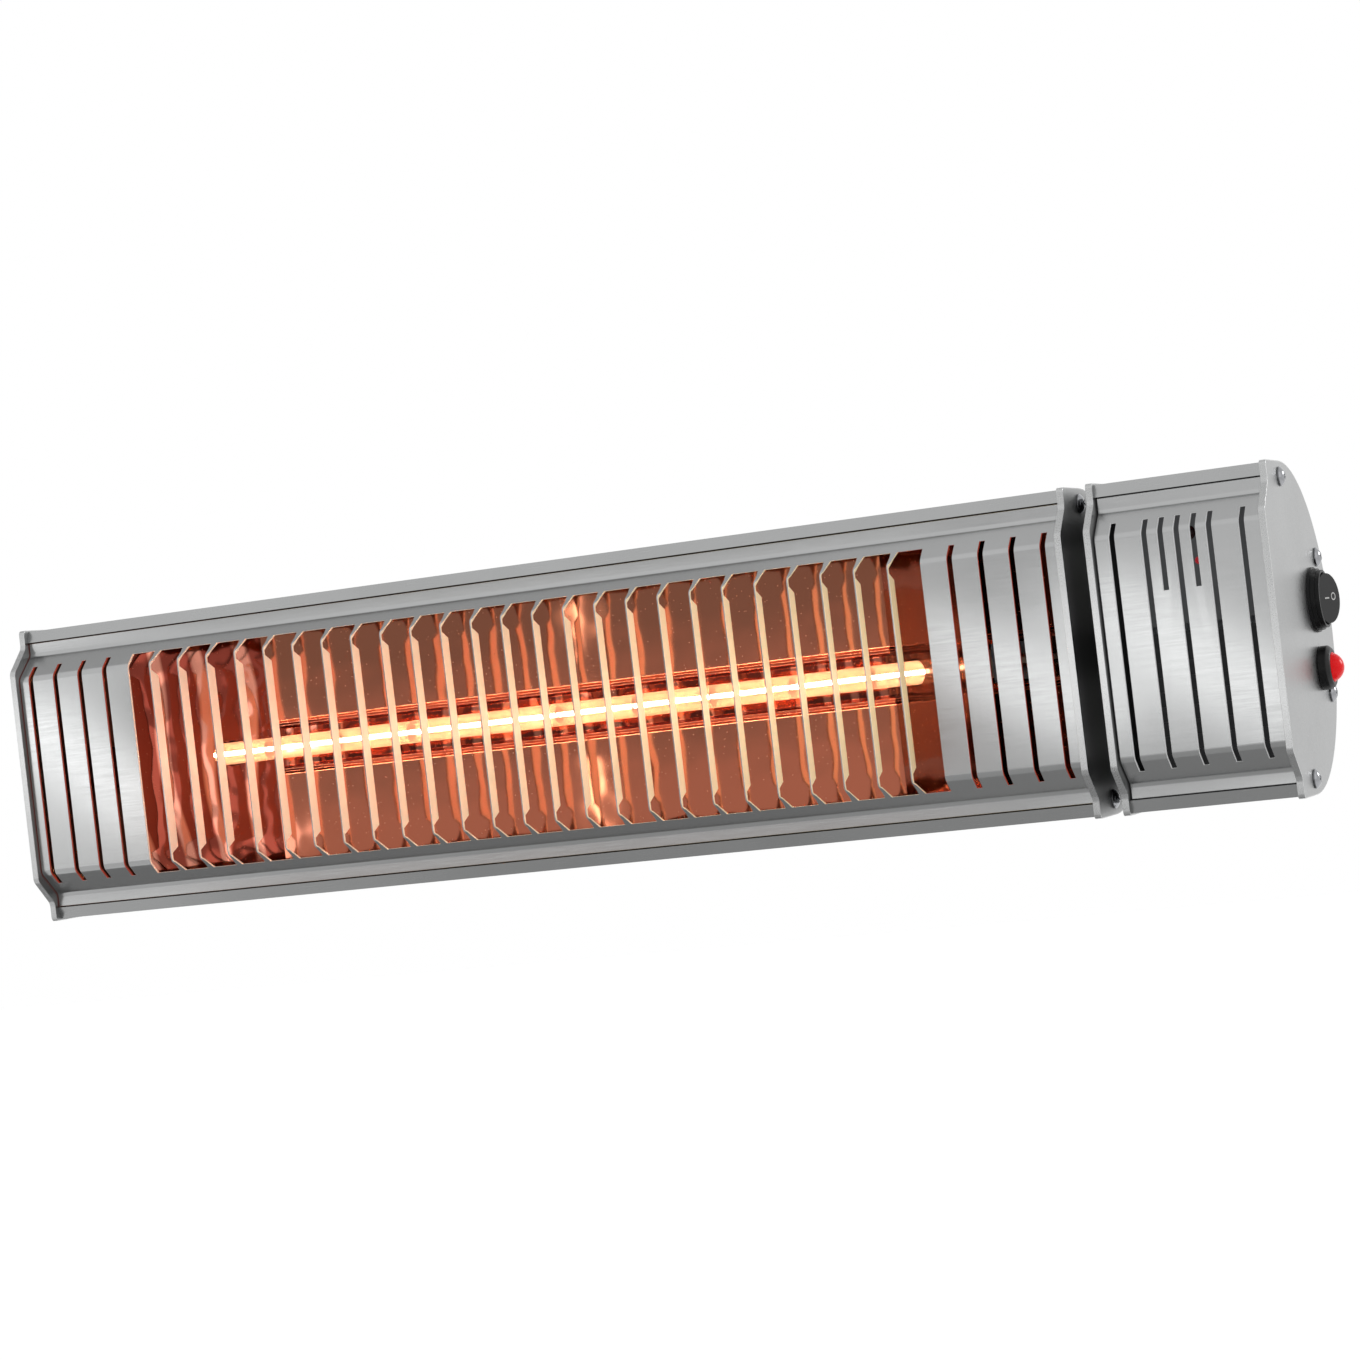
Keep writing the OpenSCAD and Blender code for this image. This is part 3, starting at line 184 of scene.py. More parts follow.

# %% [markdown]
# ## Sheet changed by heat and sawing, and painted light on it
# Lamp heat has bleached the blades and the cut edges to a dull matt surface that
# scatters the lamp light, so they glow cream all the way up. That light has gone to and
# fro many times inside, which takes a render very long, so a weak glow painted into the
# finish stands for it. It is pink at the cool left end, yellow towards the right, and
# brightest beside the lamp, which nodes read from the place.

# %% Bleached, stained and sawn sheet
# The glow below is painted lamp light, pink to yellow and brightest beside the lamp.
bleached_lamp_glow = grained("heat-bleached sheet", "#d6cfc4", "#e2dcd1", 9, 0.8, 0.01, (0.5, 0.62), 0.1)
tree = bleached_lamp_glow.node_tree
spot = add(tree, "ShaderNodeSeparateXYZ", {0: add(tree, "ShaderNodeTexCoord").outputs["Object"]})
warm = add(tree, "ShaderNodeMapRange", {
    "Value": spot.outputs["X"], "From Min": -200 * MM, "From Max": 100 * MM,
})
hue = add(tree, "ShaderNodeMix", {
    0: warm.outputs[0], MIX_A: linear("#ffbb98"), MIX_B: linear("#ffdc98"),
}, data_type="RGBA")
height = add(tree, "ShaderNodeMath", {0: spot.outputs["Z"]}, operation="ABSOLUTE")
level = add(tree, "ShaderNodeMapRange", {
    "Value": height.outputs[0], "From Max": 50 * MM, "To Min": 0.5, "To Max": 0.34,
})
feed(tree.nodes["Principled BSDF"], {
    "Emission Color": hue.outputs[MIX_OUT], "Emission Strength": level.outputs[0],
})
# The cover's back is stained brown by the same heat.
stained = grained("heat-stained back", "#4a3a32", "#5e4c42", 12, 0.8, 0.01, (0.5, 0.65), 0.3)
# Beside the window only a little red lamp light reaches the slots' edges, so their
# darker colour is painted shade and their weak red glow is painted lamp light.
shade_and_red_glow = grained(
    "shadowed slot edge", "#6a443e", "#7c5048", 8, 0.6, 0.01, (0.45, 0.6), 0.2,
    Emission_Color=linear("#d8482c"), Emission_Strength=0.3,
)
# The slots of the control box's cover are sawn and pale, and a weak glow painted on
# their edges stands for the daylight that reaches them.
sawn_daylight_glow = grained(
    "pale sawn edge", "#c9c9c9", "#dadada", 5, 0.5, 0.01, (0.45, 0.6), 0.1,
    Emission_Color=linear("#e4e4e4"), Emission_Strength=0.3,
)
print("made", bleached_lamp_glow.name, "with", len(tree.nodes), "nodes")

# %% [markdown]
# ## Steel, paint and plastics
# The sheet inside is galvanised, the bracket is powder coated, and the switch, knobs and
# gland are moulded. A zinc bath, an oven and a mould each leave their own surface, so
# these finishes differ mostly in the size and depth of their grain.

# %% Steel, paint and plastics
# Galvanised steel is duller than aluminium, with broad patches of zinc.
zinc = grained("galvanised sheet", "#8f9396", "#b3b7ba", 6, 1.2, 0.01, (0.3, 0.5), 1.0)
# Powder coat on the bracket: charcoal with the fine orange peel of baked powder.
powder = grained("charcoal powder coat", "#3c3e41", "#4a4c50", 30, 0.9, 0.03, (0.42, 0.56))
# Black moulded nylon: spark-eroded mould texture, satin.
nylon = grained(
    "black moulded nylon", "#0d0d0e", "#151516", 12, 0.6, 0.012, (0.34, 0.46),
    Specular_IOR_Level=0.3,
)
# Black ABS on the rocker: almost smooth, with a clear shine.
black_abs = grained(
    "black rocker", "#070708", "#0c0c0d", 9, 0.5, 0.004, (0.3, 0.38), Specular_IOR_Level=0.12,
)
# Black anodised aluminium on the heat sink, with extrusion lines along Z. The weak glow
# on it and on the grey ABS housing stands for daylight through the slots.
DAYLIGHT = linear("#8c8e90")
black_anodised = grained(
    "black anodised fins", "#2c2d30", "#3c3d40", 10, 0.6, 0.01, (0.4, 0.55), 0.6, (1, 1, 0.05),
    Emission_Color=DAYLIGHT, Emission_Strength=0.05,
)
grey_abs = grained(
    "grey moulded housing", "#4c4e50", "#5a5c5e", 10, 0.6, 0.015, (0.5, 0.6),
    Emission_Color=DAYLIGHT, Emission_Strength=0.12,
)
# Blue and cream thermoplastics on the relay and the terminal block.
relay_case = grained("blue relay case", "#2a4c78", "#35598a", 7, 0.5, 0.01, (0.35, 0.45))
cream = grained("cream terminal block", "#cdc8b8", "#dcd8ca", 7, 0.6, 0.015, (0.5, 0.62))
print("made", zinc.name, "and", powder.name, "and", nylon.name)

# %% [markdown]
# ## Contacts, wires and ceramic
# These small pieces inside are seen through a slot at most. They still take the finish
# of the real thing: bright stamped brass, dull rubber, woven glass fibre over the lamp's
# leads, PVC on the wires and unglazed ceramic on the lamp's ends.

# %% Contacts, wires and ceramic
brass = grained("stamped brass", "#c79f58", "#d9b874", 5, 0.4, 0.006, (0.22, 0.38), 1.0)
rubber = grained("black seal rubber", "#1b1b1b", "#262626", 6, 0.5, 0.02, (0.6, 0.75))
sleeve = grained("glass-fibre sleeve", "#cfc9bb", "#e2ddd0", 5, 0.7, 0.06, (0.65, 0.8))
pvc = grained("brown wire", "#4f2a18", "#63351f", 6, 0.5, 0.01, (0.35, 0.5))
# Steatite is a white ceramic with a fine tooth.
steatite = grained("steatite ceramic", "#ddd6c6", "#ece7da", 4, 0.4, 0.02, (0.55, 0.7))
print("grained finishes:", len(bpy.data.materials))

# %% [markdown]
# ## Cast end plates
# The end plates are cast aluminium, tumbled and anodised. Casting leaves a fine pebble
# that anodising keeps. Tumbling polishes the edges, and they are painted brighter still
# as a highlight. The edge is found by the Bevel node: where its rounded normal parts from
# the true one, there is an edge. That needs no picture and stays right from every side.
# The narrow gap between the two sections is darkened by ambient occlusion, which is
# painted shade, and it is made rougher there.

# %% The cast finish
CLOUD_MM, PEBBLE_MM, EDGE_MM, GAP_MM = 28, 0.9, 0.9, 40
cast, tree, shader, place = start_finish("tumbled cast aluminium")
body_grey = drifting(tree, place, CLOUD_MM, "#999a9a", "#a5a6a6", 4.0)
rounded = add(tree, "ShaderNodeBevel", {"Radius": EDGE_MM * MM}, samples=4)
true_normal = add(tree, "ShaderNodeNewGeometry").outputs["Normal"]
turn = add(tree, "ShaderNodeVectorMath", {
    0: rounded.outputs[0], 1: true_normal,
}, operation="DOT_PRODUCT")
edge = add(tree, "ShaderNodeMapRange", {
    "Value": turn.outputs["Value"], "From Min": 0.98, "From Max": 0.85,
})
# The edges are lighter: polish from tumbling, and a painted highlight.
polish_and_highlight = add(tree, "ShaderNodeMix", {
    0: edge.outputs[0], MIX_A: body_grey, MIX_B: linear("#f0f0f0"),
}, data_type="RGBA")
# Ambient occlusion darkens the colour in the gap between the sections: painted shade.
open_sky = add(tree, "ShaderNodeAmbientOcclusion", {
    "Distance": GAP_MM * MM
}, samples=6).outputs["AO"]
shade = add(tree, "ShaderNodeMapRange", {
    "Value": open_sky, "From Min": 0.1, "From Max": 0.55, "To Min": 0.45,
})
shaded = add(tree, "ShaderNodeVectorMath", {
    0: polish_and_highlight.outputs[MIX_OUT], "Scale": shade.outputs[0],
}, operation="SCALE")
pebble = add(tree, "ShaderNodeTexNoise", {
    "Vector": place, "Scale": 1 / (PEBBLE_MM * MM), "Detail": 5.0, "Roughness": 0.6,
})
satin = add(tree, "ShaderNodeMapRange", {
    "Value": pebble.outputs[0], "From Min": NOISE_LOW, "From Max": NOISE_HIGH, "To Min": 0.26,
    "To Max": 0.36,
})
dull = add(tree, "ShaderNodeMapRange", {
    "Value": open_sky, "From Min": 0.1, "From Max": 0.6, "To Min": 0.65, "To Max": 0.1,
})
rough = add(tree, "ShaderNodeMath", {0: satin.outputs[0], 1: dull.outputs[0]}, operation="MAXIMUM")
relief = add(tree, "ShaderNodeBump", {"Height": pebble.outputs[0], "Distance": 0.01 * MM})
feed(shader, {
    "Base Color": shaded.outputs[0], "Roughness": rough.outputs[0], "Normal": relief.outputs[0],
    "Metallic": 1.0,
})
print("made", cast.name, "with", len(tree.nodes), "nodes")

# %% [markdown]
# ## Steel fasteners
# Stainless screws are turned, so fine rings run round their axis, and the heads are
# polished. The rings are far finer than the picture, and a fine shallow noise stands for
# them at this size.

# %% The screw finish
steel = grained("turned stainless steel", "#8c8d90", "#a2a3a6", 3, 0.35, 0.003, (0.1, 0.18), 1.0)
print("made", steel.name)

# %% [markdown]
# ## Reflector
# A polished sheet that years of lamp heat have tinted copper. It is a bright mirror: the
# dark copper panels in the photograph show the dim room in front of the heater, and the
# lighter bands are the lit blades. The sheet is never quite flat, so a slow wave bends
# those bands, and fine dust dulls it in specks.

# %% The reflector finish
TINT_MM, SPECK_MM, WAVE_MM = 70, 2.4, 22


def copper_mirror(name, dark, light, dusty, wave_depth_mm):
    finish, tree, shader, place = start_finish(name)
    copper = drifting(tree, place, TINT_MM, dark, light)
    specks = add(tree, "ShaderNodeTexVoronoi", {
        "Vector": place, "Scale": 1 / (SPECK_MM * MM),
    }, feature="F1")
    dust = add(tree, "ShaderNodeMapRange", {
        "Value": specks.outputs["Distance"], "From Min": 0.06, "From Max": 0.12, "To Min": 0.5,
        "To Max": 0.0,
    })
    base = add(tree, "ShaderNodeMix", {
        0: dust.outputs[0], MIX_A: copper, MIX_B: linear(dusty),
    }, data_type="RGBA")
    haze = add(tree, "ShaderNodeMapRange", {
        "Value": dust.outputs[0], "From Max": 0.5, "To Min": 0.06, "To Max": 0.4,
    })
    wave = add(tree, "ShaderNodeTexNoise", {
        "Vector": place, "Scale": 1 / (WAVE_MM * MM), "Detail": 1.0,
    })
    relief = add(tree, "ShaderNodeBump", {
        "Height": wave.outputs[0], "Distance": wave_depth_mm * MM,
    })
    feed(shader, {
        "Base Color": base.outputs[MIX_OUT], "Roughness": haze.outputs[0],
        "Normal": relief.outputs[0], "Metallic": 1.0,
    })
    return finish


mirror = copper_mirror("heat-tinted reflector", "#dd8c70", "#eb987c", "#f6b496", 0.25)
print("made", mirror.name)

# %% [markdown]
# ## Deeper tints
# Nearest to the lamp, in the channel behind it and on the end walls, the tint is deepest.
# The end walls are pressed, so they are more wavy, and the tint lies on them in bands.
# The right end wall is seen at a glance, and its darker brown is painted shade.

# %% Deep and shaded mirrors
BAND_MM = 45
deep_mirror = copper_mirror("deeply tinted reflector", "#7c342b", "#8c4030", "#c07a62", 0.9)
tree = deep_mirror.node_tree
shader = tree.nodes["Principled BSDF"]
tinted = shader.inputs["Base Color"].links[0].from_socket
place = add(tree, "ShaderNodeTexCoord").outputs["Object"]
bands = add(tree, "ShaderNodeTexWave", {
    "Vector": place, "Scale": 1 / (BAND_MM * MM), "Distortion": 5.0, "Detail": 1.0,
    "Detail Scale": 0.4,
}, bands_direction="X")
thin = add(tree, "ShaderNodeMapRange", {
    "Value": bands.outputs["Fac"], "From Min": 0.72, "From Max": 0.92, "To Max": 0.85,
})
banded = add(tree, "ShaderNodeMix", {
    0: thin.outputs[0], MIX_A: tinted, MIX_B: linear("#dc8f78"),
}, data_type="RGBA")
feed(shader, {"Base Color": banded.outputs[MIX_OUT]})
# The right end wall's darker brown base is painted shade.
shaded_mirror = copper_mirror("shaded reflector", "#7a5040", "#845a48", "#c07a62", 0.25)
print("made", deep_mirror.name, "and", shaded_mirror.name)

# %% [markdown]
# ## Lamp
# The filament is tungsten at about 2400 K, wound as a coil, and it lights the inside of
# the heater for real: its shader gives light. The quartz tube round it is clear. A true
# glass shader would scatter the lamp's light into noise, so the tube is a thin shine
# with a low alpha, stronger where it is seen edge on, and a faint amber glow painted on
# it stands for the lamp's light glowing in the quartz.

# %% Filament and quartz
HOT_SPOT_MM, DRAW_LINE_MM = 30, 1.5
glow, tree, shader, place = start_finish("glowing tungsten")
heat = drifting(tree, place, HOT_SPOT_MM, "#ffdab0", "#ffeacf")
feed(shader, {"Emission Color": heat, "Emission Strength": 40.0, "Base Color": linear("#6a6258")})

quartz, tree, shader, place = start_finish("quartz tube")
rim = add(tree, "ShaderNodeLayerWeight", {"Blend": 0.35})
veil = add(tree, "ShaderNodeMapRange", {
    "Value": rim.outputs["Facing"], "To Min": 0.1, "To Max": 0.6,
})
draw_lines = add(tree, "ShaderNodeMapping", {"Vector": place, "Scale": (0.02, 1, 1)})
# The tube's amber glow is painted light, streaked along the draw lines.
amber = drifting(tree, draw_lines.outputs[0], DRAW_LINE_MM, "#e08858", "#ffd2ac", 3.0)
feed(shader, {
    "Base Color": amber, "Alpha": veil.outputs[0], "Emission Color": amber,
    "Emission Strength": 0.6, "Roughness": 0.05, "IOR": 1.46,
})
print("made", glow.name, "and", quartz.name)

# %% [markdown]
# ## Red parts and the circuit board
# The push button is cast in clear red acrylic, which gathers light through its rim and
# gives it back at the dome. So it is redder than paint could be, and a weak red glow
# stands for that. The receiver window is dark red, and the status light behind the slots
# glows dimly. The board is glass-fibre laminate under green lacquer, with darker copper
# tracks in a grid showing through.

# %% Button, window, light and board
CORE_MM, FIBRE_MM = 2, 0.6
acrylic = grained(
    "red acrylic button", "#d80008", "#ee000c", 8, 0.8, 0.003, (0.22, 0.3),
    Emission_Color=linear("#ff0810"), Emission_Strength=0.2, Specular_IOR_Level=0.15,
    Coat_Weight=0.12, Coat_Roughness=0.06,
)
window = grained("dark red window", "#30080b", "#3e0c10", 6, 0.8, 0.003, (0.1, 0.16))
light, tree, shader, place = start_finish("red status light")
red = drifting(tree, place, CORE_MM, "#8c1620", "#c8323c")
feed(shader, {"Base Color": red, "Emission Color": red, "Emission Strength": 0.6})

lacquer, tree, shader, place = start_finish("green lacquered board")
tracks = add(tree, "ShaderNodeTexBrick", {
    "Vector": place, "Scale": 1.0, "Color1": linear("#1f5a30"), "Color2": linear("#276638"),
    "Mortar": linear("#143f22"), "Mortar Size": 0.4 * MM, "Brick Width": 7 * MM,
    "Row Height": 2.5 * MM,
})
fibre = add(tree, "ShaderNodeTexNoise", {"Vector": place, "Scale": 1 / (FIBRE_MM * MM)})
gloss = add(tree, "ShaderNodeMapRange", {"Value": fibre.outputs[0], "To Min": 0.25, "To Max": 0.45})
feed(shader, {"Base Color": tracks.outputs["Color"], "Roughness": gloss.outputs[0]})
print("made", acrylic.name, "and", light.name, "and", lacquer.name)

# %% [markdown]
# ## Finishes onto pieces
# The record already says which material slot each piece takes. The dictionary below
# turns a slot into its finish, so a piece that isn't rebuilt is finished from the table.

# %% Finish every CAD piece
finish_of = {
    "casing_aluminium": extruded,
    "cast_plates": cast,
    "steel_screws": steel,
    "steel_sheet": zinc,
    "reflector_sheet": mirror,
    "quartz": quartz,
    "filament_glow": glow,
    "ceramic_white": steatite,
    "wire_sleeve": sleeve,
    "bracket_paint": powder,
    "black_plastic": nylon,
    "black_gloss": black_abs,
    "red_gloss": acrylic,
    "heat_sink_black": black_anodised,
    "receiver_grey": grey_abs,
    "lens_dark": window,
    "led_red": light,
    "board_green": lacquer,
    "relay_blue": relay_case,
    "terminal_cream": cream,
    "brass_contacts": brass,
    "seal_rubber": rubber,
    "wire_brown": pvc,
}
for name, node in nodes.items():
    node.data.materials.clear()
    node.data.materials.append(finish_of[slot_of[name]])
print("finished", len(nodes), "pieces")

# %% [markdown]
# ## Soft edges
# No edge of a real casting, extrusion or pressing is a knife edge: it is rounded by a
# fraction of a millimetre, and that round catches a thin line of light. A CAD mesh has
# sharp edges and loose triangles. So each main piece is copied, its doubles merged and
# its flat faces joined, and a Bevel modifier rounds what is left. The copy then stands
# for the CAD piece on the same body.

# %% Helpers for new pieces
SAME_POINT_MM = 0.002


def merged(node_name):
    shape = bmesh.new()
    shape.from_mesh(nodes[node_name].data)
    bmesh.ops.remove_doubles(shape, verts=shape.verts, dist=SAME_POINT_MM * MM)
    return shape


def to_mesh(name, shape):
    mesh = bpy.data.meshes.new(name)
    shape.to_mesh(mesh)
    shape.free()
    return mesh


def put_in_scene(name, mesh, finish):
    obj = bpy.data.objects.new(name, mesh)
    bpy.context.scene.collection.objects.link(obj)
    mesh.materials.clear()
    mesh.materials.append(finish)
    return obj


def join_up(obj, name, body, slot, *stands_for):
    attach(obj, body)
    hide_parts(*stands_for)
    obj.name = name
    return obj


print("points within", SAME_POINT_MM, "mm are one")

# %% Rounded copies
FLAT_DEG, SHARP_DEG, BEVEL_STEPS = 0.6, 32, 2


def rounded_copy(node_name, finish, radius_mm):
    shape = merged(node_name)
    bmesh.ops.dissolve_limit(
        shape, angle_limit=math.radians(FLAT_DEG), verts=shape.verts, edges=shape.edges,
    )
    mesh = to_mesh(node_name + "_soft", shape)
    mesh.shade_smooth()
    mesh.set_sharp_from_angle(angle=math.radians(SHARP_DEG))
    obj = put_in_scene(node_name + "_soft", mesh, finish)
    bevel = obj.modifiers.new("rounded edges", "BEVEL")
    bevel.width = radius_mm * MM
    bevel.segments = BEVEL_STEPS
    bevel.limit_method = "ANGLE"
    bevel.angle_limit = math.radians(SHARP_DEG)
    bevel.harden_normals = True
    body = nodes[node_name]["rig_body"]
    return join_up(obj, node_name + "_soft", body, slot_of[node_name], node_name)


plates = ("left_end_plate", "heater_right_plate", "control_left_plate", "control_right_plate")
soft_pieces = dict.fromkeys(plates, (cast, 0.7)) | {
    "front_grille": (sheet, 0.15),
    "control_cover": (sheet, 0.15),
    "reflector": (mirror, 0.4),
    "rear_shell": (extruded, 0.3),
    "control_shell": (extruded, 0.3),
    "wall_plate": (powder, 0.4),
    "tilt_arms": (powder, 0.4),
    "tilt_knobs": (nylon, 0.5),
    "switch_housing": (nylon, 0.3),
    "switch_rocker": (black_abs, 0.5),
    "button_body": (nylon, 0.4),
}
for name, (finish, radius) in soft_pieces.items():
    made = rounded_copy(name, finish, radius)
    print(made.name, len(made.data.polygons), "faces before rounding")

# %% [markdown]
# ## Rules for points and faces
# The copies are plain meshes. Where the photograph shows a finer form than the CAD model
# has, some of their points move, and where one piece has two finishes, its faces take
# them one by one. Both are done by a rule: a short function that is asked about every
# point, and moves it or not, or about every face, and gives the number of its finish.


# %% Apply a rule
def move_points(name, rule):
    points = bpy.data.objects[name].data.vertices
    print(name, "moved", sum(bool(rule(point.co)) for point in points), "points")


def pick_faces(name, more_finishes, rule):
    mesh = bpy.data.objects[name].data
    for finish in more_finishes:
        mesh.materials.append(finish)
    for face in mesh.polygons:
        face.material_index = rule(face.center, face.normal)
    print(name, sum(face.material_index > 0 for face in mesh.polygons), "faces picked")


# %% [markdown]
# ## Shadow gaps round the covers
# The covers stop short of the casing's lip and of the control box's left plate. That
# leaves the thin dark lines of the photograph.

# %% Draw the covers in
# The casing's front is this far from the wall, and its left end from the middle.
CASE_Y_MM, CASE_X_MM = 158, 251
COVER_END_MM, COVER_EDGE_Z_MM, SEAM_MM, NEAR_MM = 62, 60.95, 0.5, 0.1
seam_x = min(v.co.x for v in bpy.data.objects["control_cover_soft"].data.vertices)


def draw_in(point):
    if abs(point.z) > COVER_END_MM * MM:
        point.z = math.copysign(COVER_EDGE_Z_MM * MM, point.z)
        return True


def open_seam(point):
    if point.x < seam_x + NEAR_MM * MM:
        point.x += SEAM_MM * MM
        return True


move_points("front_grille_soft", draw_in)
move_points("control_cover_soft", draw_in)
move_points("control_cover_soft", open_seam)

# %% [markdown]
# ## Two sides of one sheet
# Only the outside of the slatted cover is anodised and satin: a face belongs to it when
# it looks forward. The blades, the cut edges and the back have the changed finishes. The
# narrow ends of the blades stay plain grey metal, because the lamp hardly reaches them.
# The sawn slots of the control box and the plates' ground edges are picked alike.

# %% Pick finishes for covers and plates
WINDOW_MM, BLADE_END_MM = (-190.4, 180.5), (45.2, 56)
FRONT_EDGE_MM, FACING, EDGE_FACING = -146, 0.3, 0.5


def within(value, limits_mm):
    return limits_mm[0] * MM < value < limits_mm[1] * MM


# 0 anodised outside, 1 bleached with painted lamp glow, 2 stained back, 3 slot edges beside the
# window with painted shade and red glow.
def grille_finish(center, normal):
    if normal.y < -FACING or within(abs(center.z), BLADE_END_MM) and abs(normal.x) > FACING:
        return 0
    if normal.y > FACING:
        return 2
    return 1 if within(center.x, WINDOW_MM) else 3


# Finish 1 is the sawn edge with its painted daylight glow.
def cover_finish(center, normal):
    return 0 if abs(normal.y) > FACING else 1


# Finish 1 is the ground front edge with its painted highlight.
def plate_finish(center, normal):
    return 1 if center.y < FRONT_EDGE_MM * MM and abs(normal.x) < EDGE_FACING else 0


pick_faces("front_grille_soft", (bleached_lamp_glow, stained, shade_and_red_glow), grille_finish)
pick_faces("control_cover_soft", (sawn_daylight_glow,), cover_finish)
for name in plates:
    pick_faces(name + "_soft", (ground,), plate_finish)

# %% [markdown]
# ## Reflector channel and end walls
# Two regions of the reflector take the deeper tint. The end walls also lean out further
# at the rim than in the CAD model, so that from the front no gap shows beside them: each
# point of a wall slides outwards by a share that grows from the floor to the rim.

# %% Tint and lean
WALL_RIM_MM, WALL_FOOT_MM, RIM_Y_MM, FLOOR_Y_MM = 191.9, 153.6, 13.8, 58.0
WALL_LEAN_MM, WALL_NEAR_MM, CHANNEL_MM, WALL_FACING = 9.0, 1.6, 9, 0.4


def lean_wall(point):
    depth = point.y / MM + CASE_Y_MM
    up = (FLOOR_Y_MM - depth) / (FLOOR_Y_MM - RIM_Y_MM)
    wall_x = WALL_FOOT_MM + (WALL_RIM_MM - WALL_FOOT_MM) * up
    if up > 0 and abs(abs(point.x) / MM - wall_x) < WALL_NEAR_MM:
        point.x += math.copysign(WALL_LEAN_MM * up * MM, point.x)
        return True


# Finish 2 is the right end wall, whose darker brown is painted shade.
def reflector_finish(center, normal):
    if abs(normal.x) <= WALL_FACING and abs(center.z) >= CHANNEL_MM * MM:
        return 0
    return 2 if normal.x < -WALL_FACING or center.x > WALL_FOOT_MM * MM else 1


move_points("reflector_soft", lean_wall)
pick_faces("reflector_soft", (deep_mirror, shaded_mirror), reflector_finish)

# %% [markdown]
# ## Lips and seats of the extrusions
# The lip above and below each cover isn't square to the front: it leans back by two
# millimetres, so the lower one mirrors the floor and looks darker than the upper one.
# The seat behind the shadow gap is never lit, and a dark finish painted on it stands for
# that shade.

# %% Lean the lips, darken the seats
LIP_Y_MM, LIP_Z_MM, LEAN_MM = 10.05, 66, 2.0
SEAT_Y_MM, SEAT_NEAR_MM, SEAT_FACING = 12.35, 0.3, 0.9
# The seat behind the shadow gap gets painted shade.
painted_shade = grained("dark etched seat", "#161616", "#1f1f1f", 8, 0.6, 0.01, (0.6, 0.75))


def lean_lip(point):
    depth = point.y / MM + CASE_Y_MM
    if depth < LIP_Y_MM + NEAR_MM and abs(point.z) > LIP_Z_MM * MM:
        point.y += LEAN_MM * MM
        return True


# Finish 1 is the seat with painted shade.
def seat_finish(center, normal):
    depth = center.y / MM + CASE_Y_MM
    return 1 if normal.y < -SEAT_FACING and abs(depth - SEAT_Y_MM) < SEAT_NEAR_MM else 0


for name in ("rear_shell_soft", "control_shell_soft"):
    move_points(name, lean_lip)
    pick_faces(name, (painted_shade,), seat_finish)

# %% [markdown]
# ## Blades
# Each slat crosses the slope as a three-millimetre strip. In front of the lamp it is
# folded back into a blade, and the photograph shows the fold on the left of the strip:
# a hair-thin front edge, then the lit right side of the blade. The points of the blades
# are moved there, by more the nearer they are to the flat front, so the strip's neck
# leads into the fold as on the real cover.

# %% Set the folds on the left
FIRST_SLAT_MM, SLAT_PITCH_MM, SLATS = 75.856, 14.756, 25
NECK_TOP_MM, NECK_END_MM = 48.0, 45.0
BLADE_FROM_MM, FOLD_MM, BLADE_TO_MM = -3.2, -0.6, 0.2
LEFT_SHIFT_MM, RIGHT_SHIFT_MM = 2.5, 3.1


def fold_left(point):
    across = (point.x / MM + CASE_X_MM - FIRST_SLAT_MM) / SLAT_PITCH_MM
    slat = round(across)
    offset = (across - slat) * SLAT_PITCH_MM
    share = (NECK_TOP_MM - abs(point.z) / MM) / (NECK_TOP_MM - NECK_END_MM)
    if 0 <= slat < SLATS and BLADE_FROM_MM < offset < BLADE_TO_MM and share > 0:
        shift = RIGHT_SHIFT_MM if offset > FOLD_MM else LEFT_SHIFT_MM
        point.x -= shift * min(1.0, share) * MM
        return True


move_points("front_grille_soft", fold_left)

# %% [markdown]
# ## Turned heads
# A pan-head screw is turned, then a cross recess is pressed into its dome. So the
# mesh is a stack of rings round one axis: each ring has a height, a radius and how far
# its four lobes swing in and out, and only the recess has lobes.

# %% A stack of rings
SIDES, LOBES, HEAD_SHARP_DEG = 32, 4, 40


def turned(name, rings_mm):
    shape = bmesh.new()
    stack = []
    for height, radius, swing in rings_mm:
        ring = []
        for k in range(SIDES):
            angle = 2 * math.pi * k / SIDES
            reach = (radius + swing * math.cos(LOBES * angle)) * MM
            corner = (reach * math.cos(angle), reach * math.sin(angle), height * MM)
            ring.append(shape.verts.new(corner))
        stack.append(ring)
    for lower, upper in zip(stack, stack[1:]):
        for k in range(SIDES):
            n = k - SIDES + 1
            shape.faces.new((lower[k], lower[n], upper[n], upper[k]))
    shape.faces.new(reversed(stack[0]))
    shape.faces.new(stack[-1])
    mesh = to_mesh(name, shape)
    mesh.shade_smooth()
    mesh.set_sharp_from_angle(angle=math.radians(HEAD_SHARP_DEG))
    return mesh


# %% The screw's rings
# The dome is a cap of a ball with a radius of DOME_MM, and its top is HEAD_MM high.
DOME_MM, HEAD_MM = 5.2, 2.6
dome_radii = (3.98, 3.7, 3.3, 2.8, 2.3, 1.9)
dome = [(HEAD_MM - DOME_MM + math.sqrt(DOME_MM**2 - r * r), r, 0) for r in dome_radii]
shank = [(-12, 1.2, 0), (-11.4, 1.9, 0), (0, 1.9, 0), (0, 3.8, 0), (0.2, 4.0, 0)]
recess = [(2.35, 1.2, 0.55), (2.2, 1.1, 0.55), (1.2, 0.7, 0.3)]
pan_head = turned("pan_head", shank + dome + recess)
print("pan head:", len(pan_head.polygons), "faces")

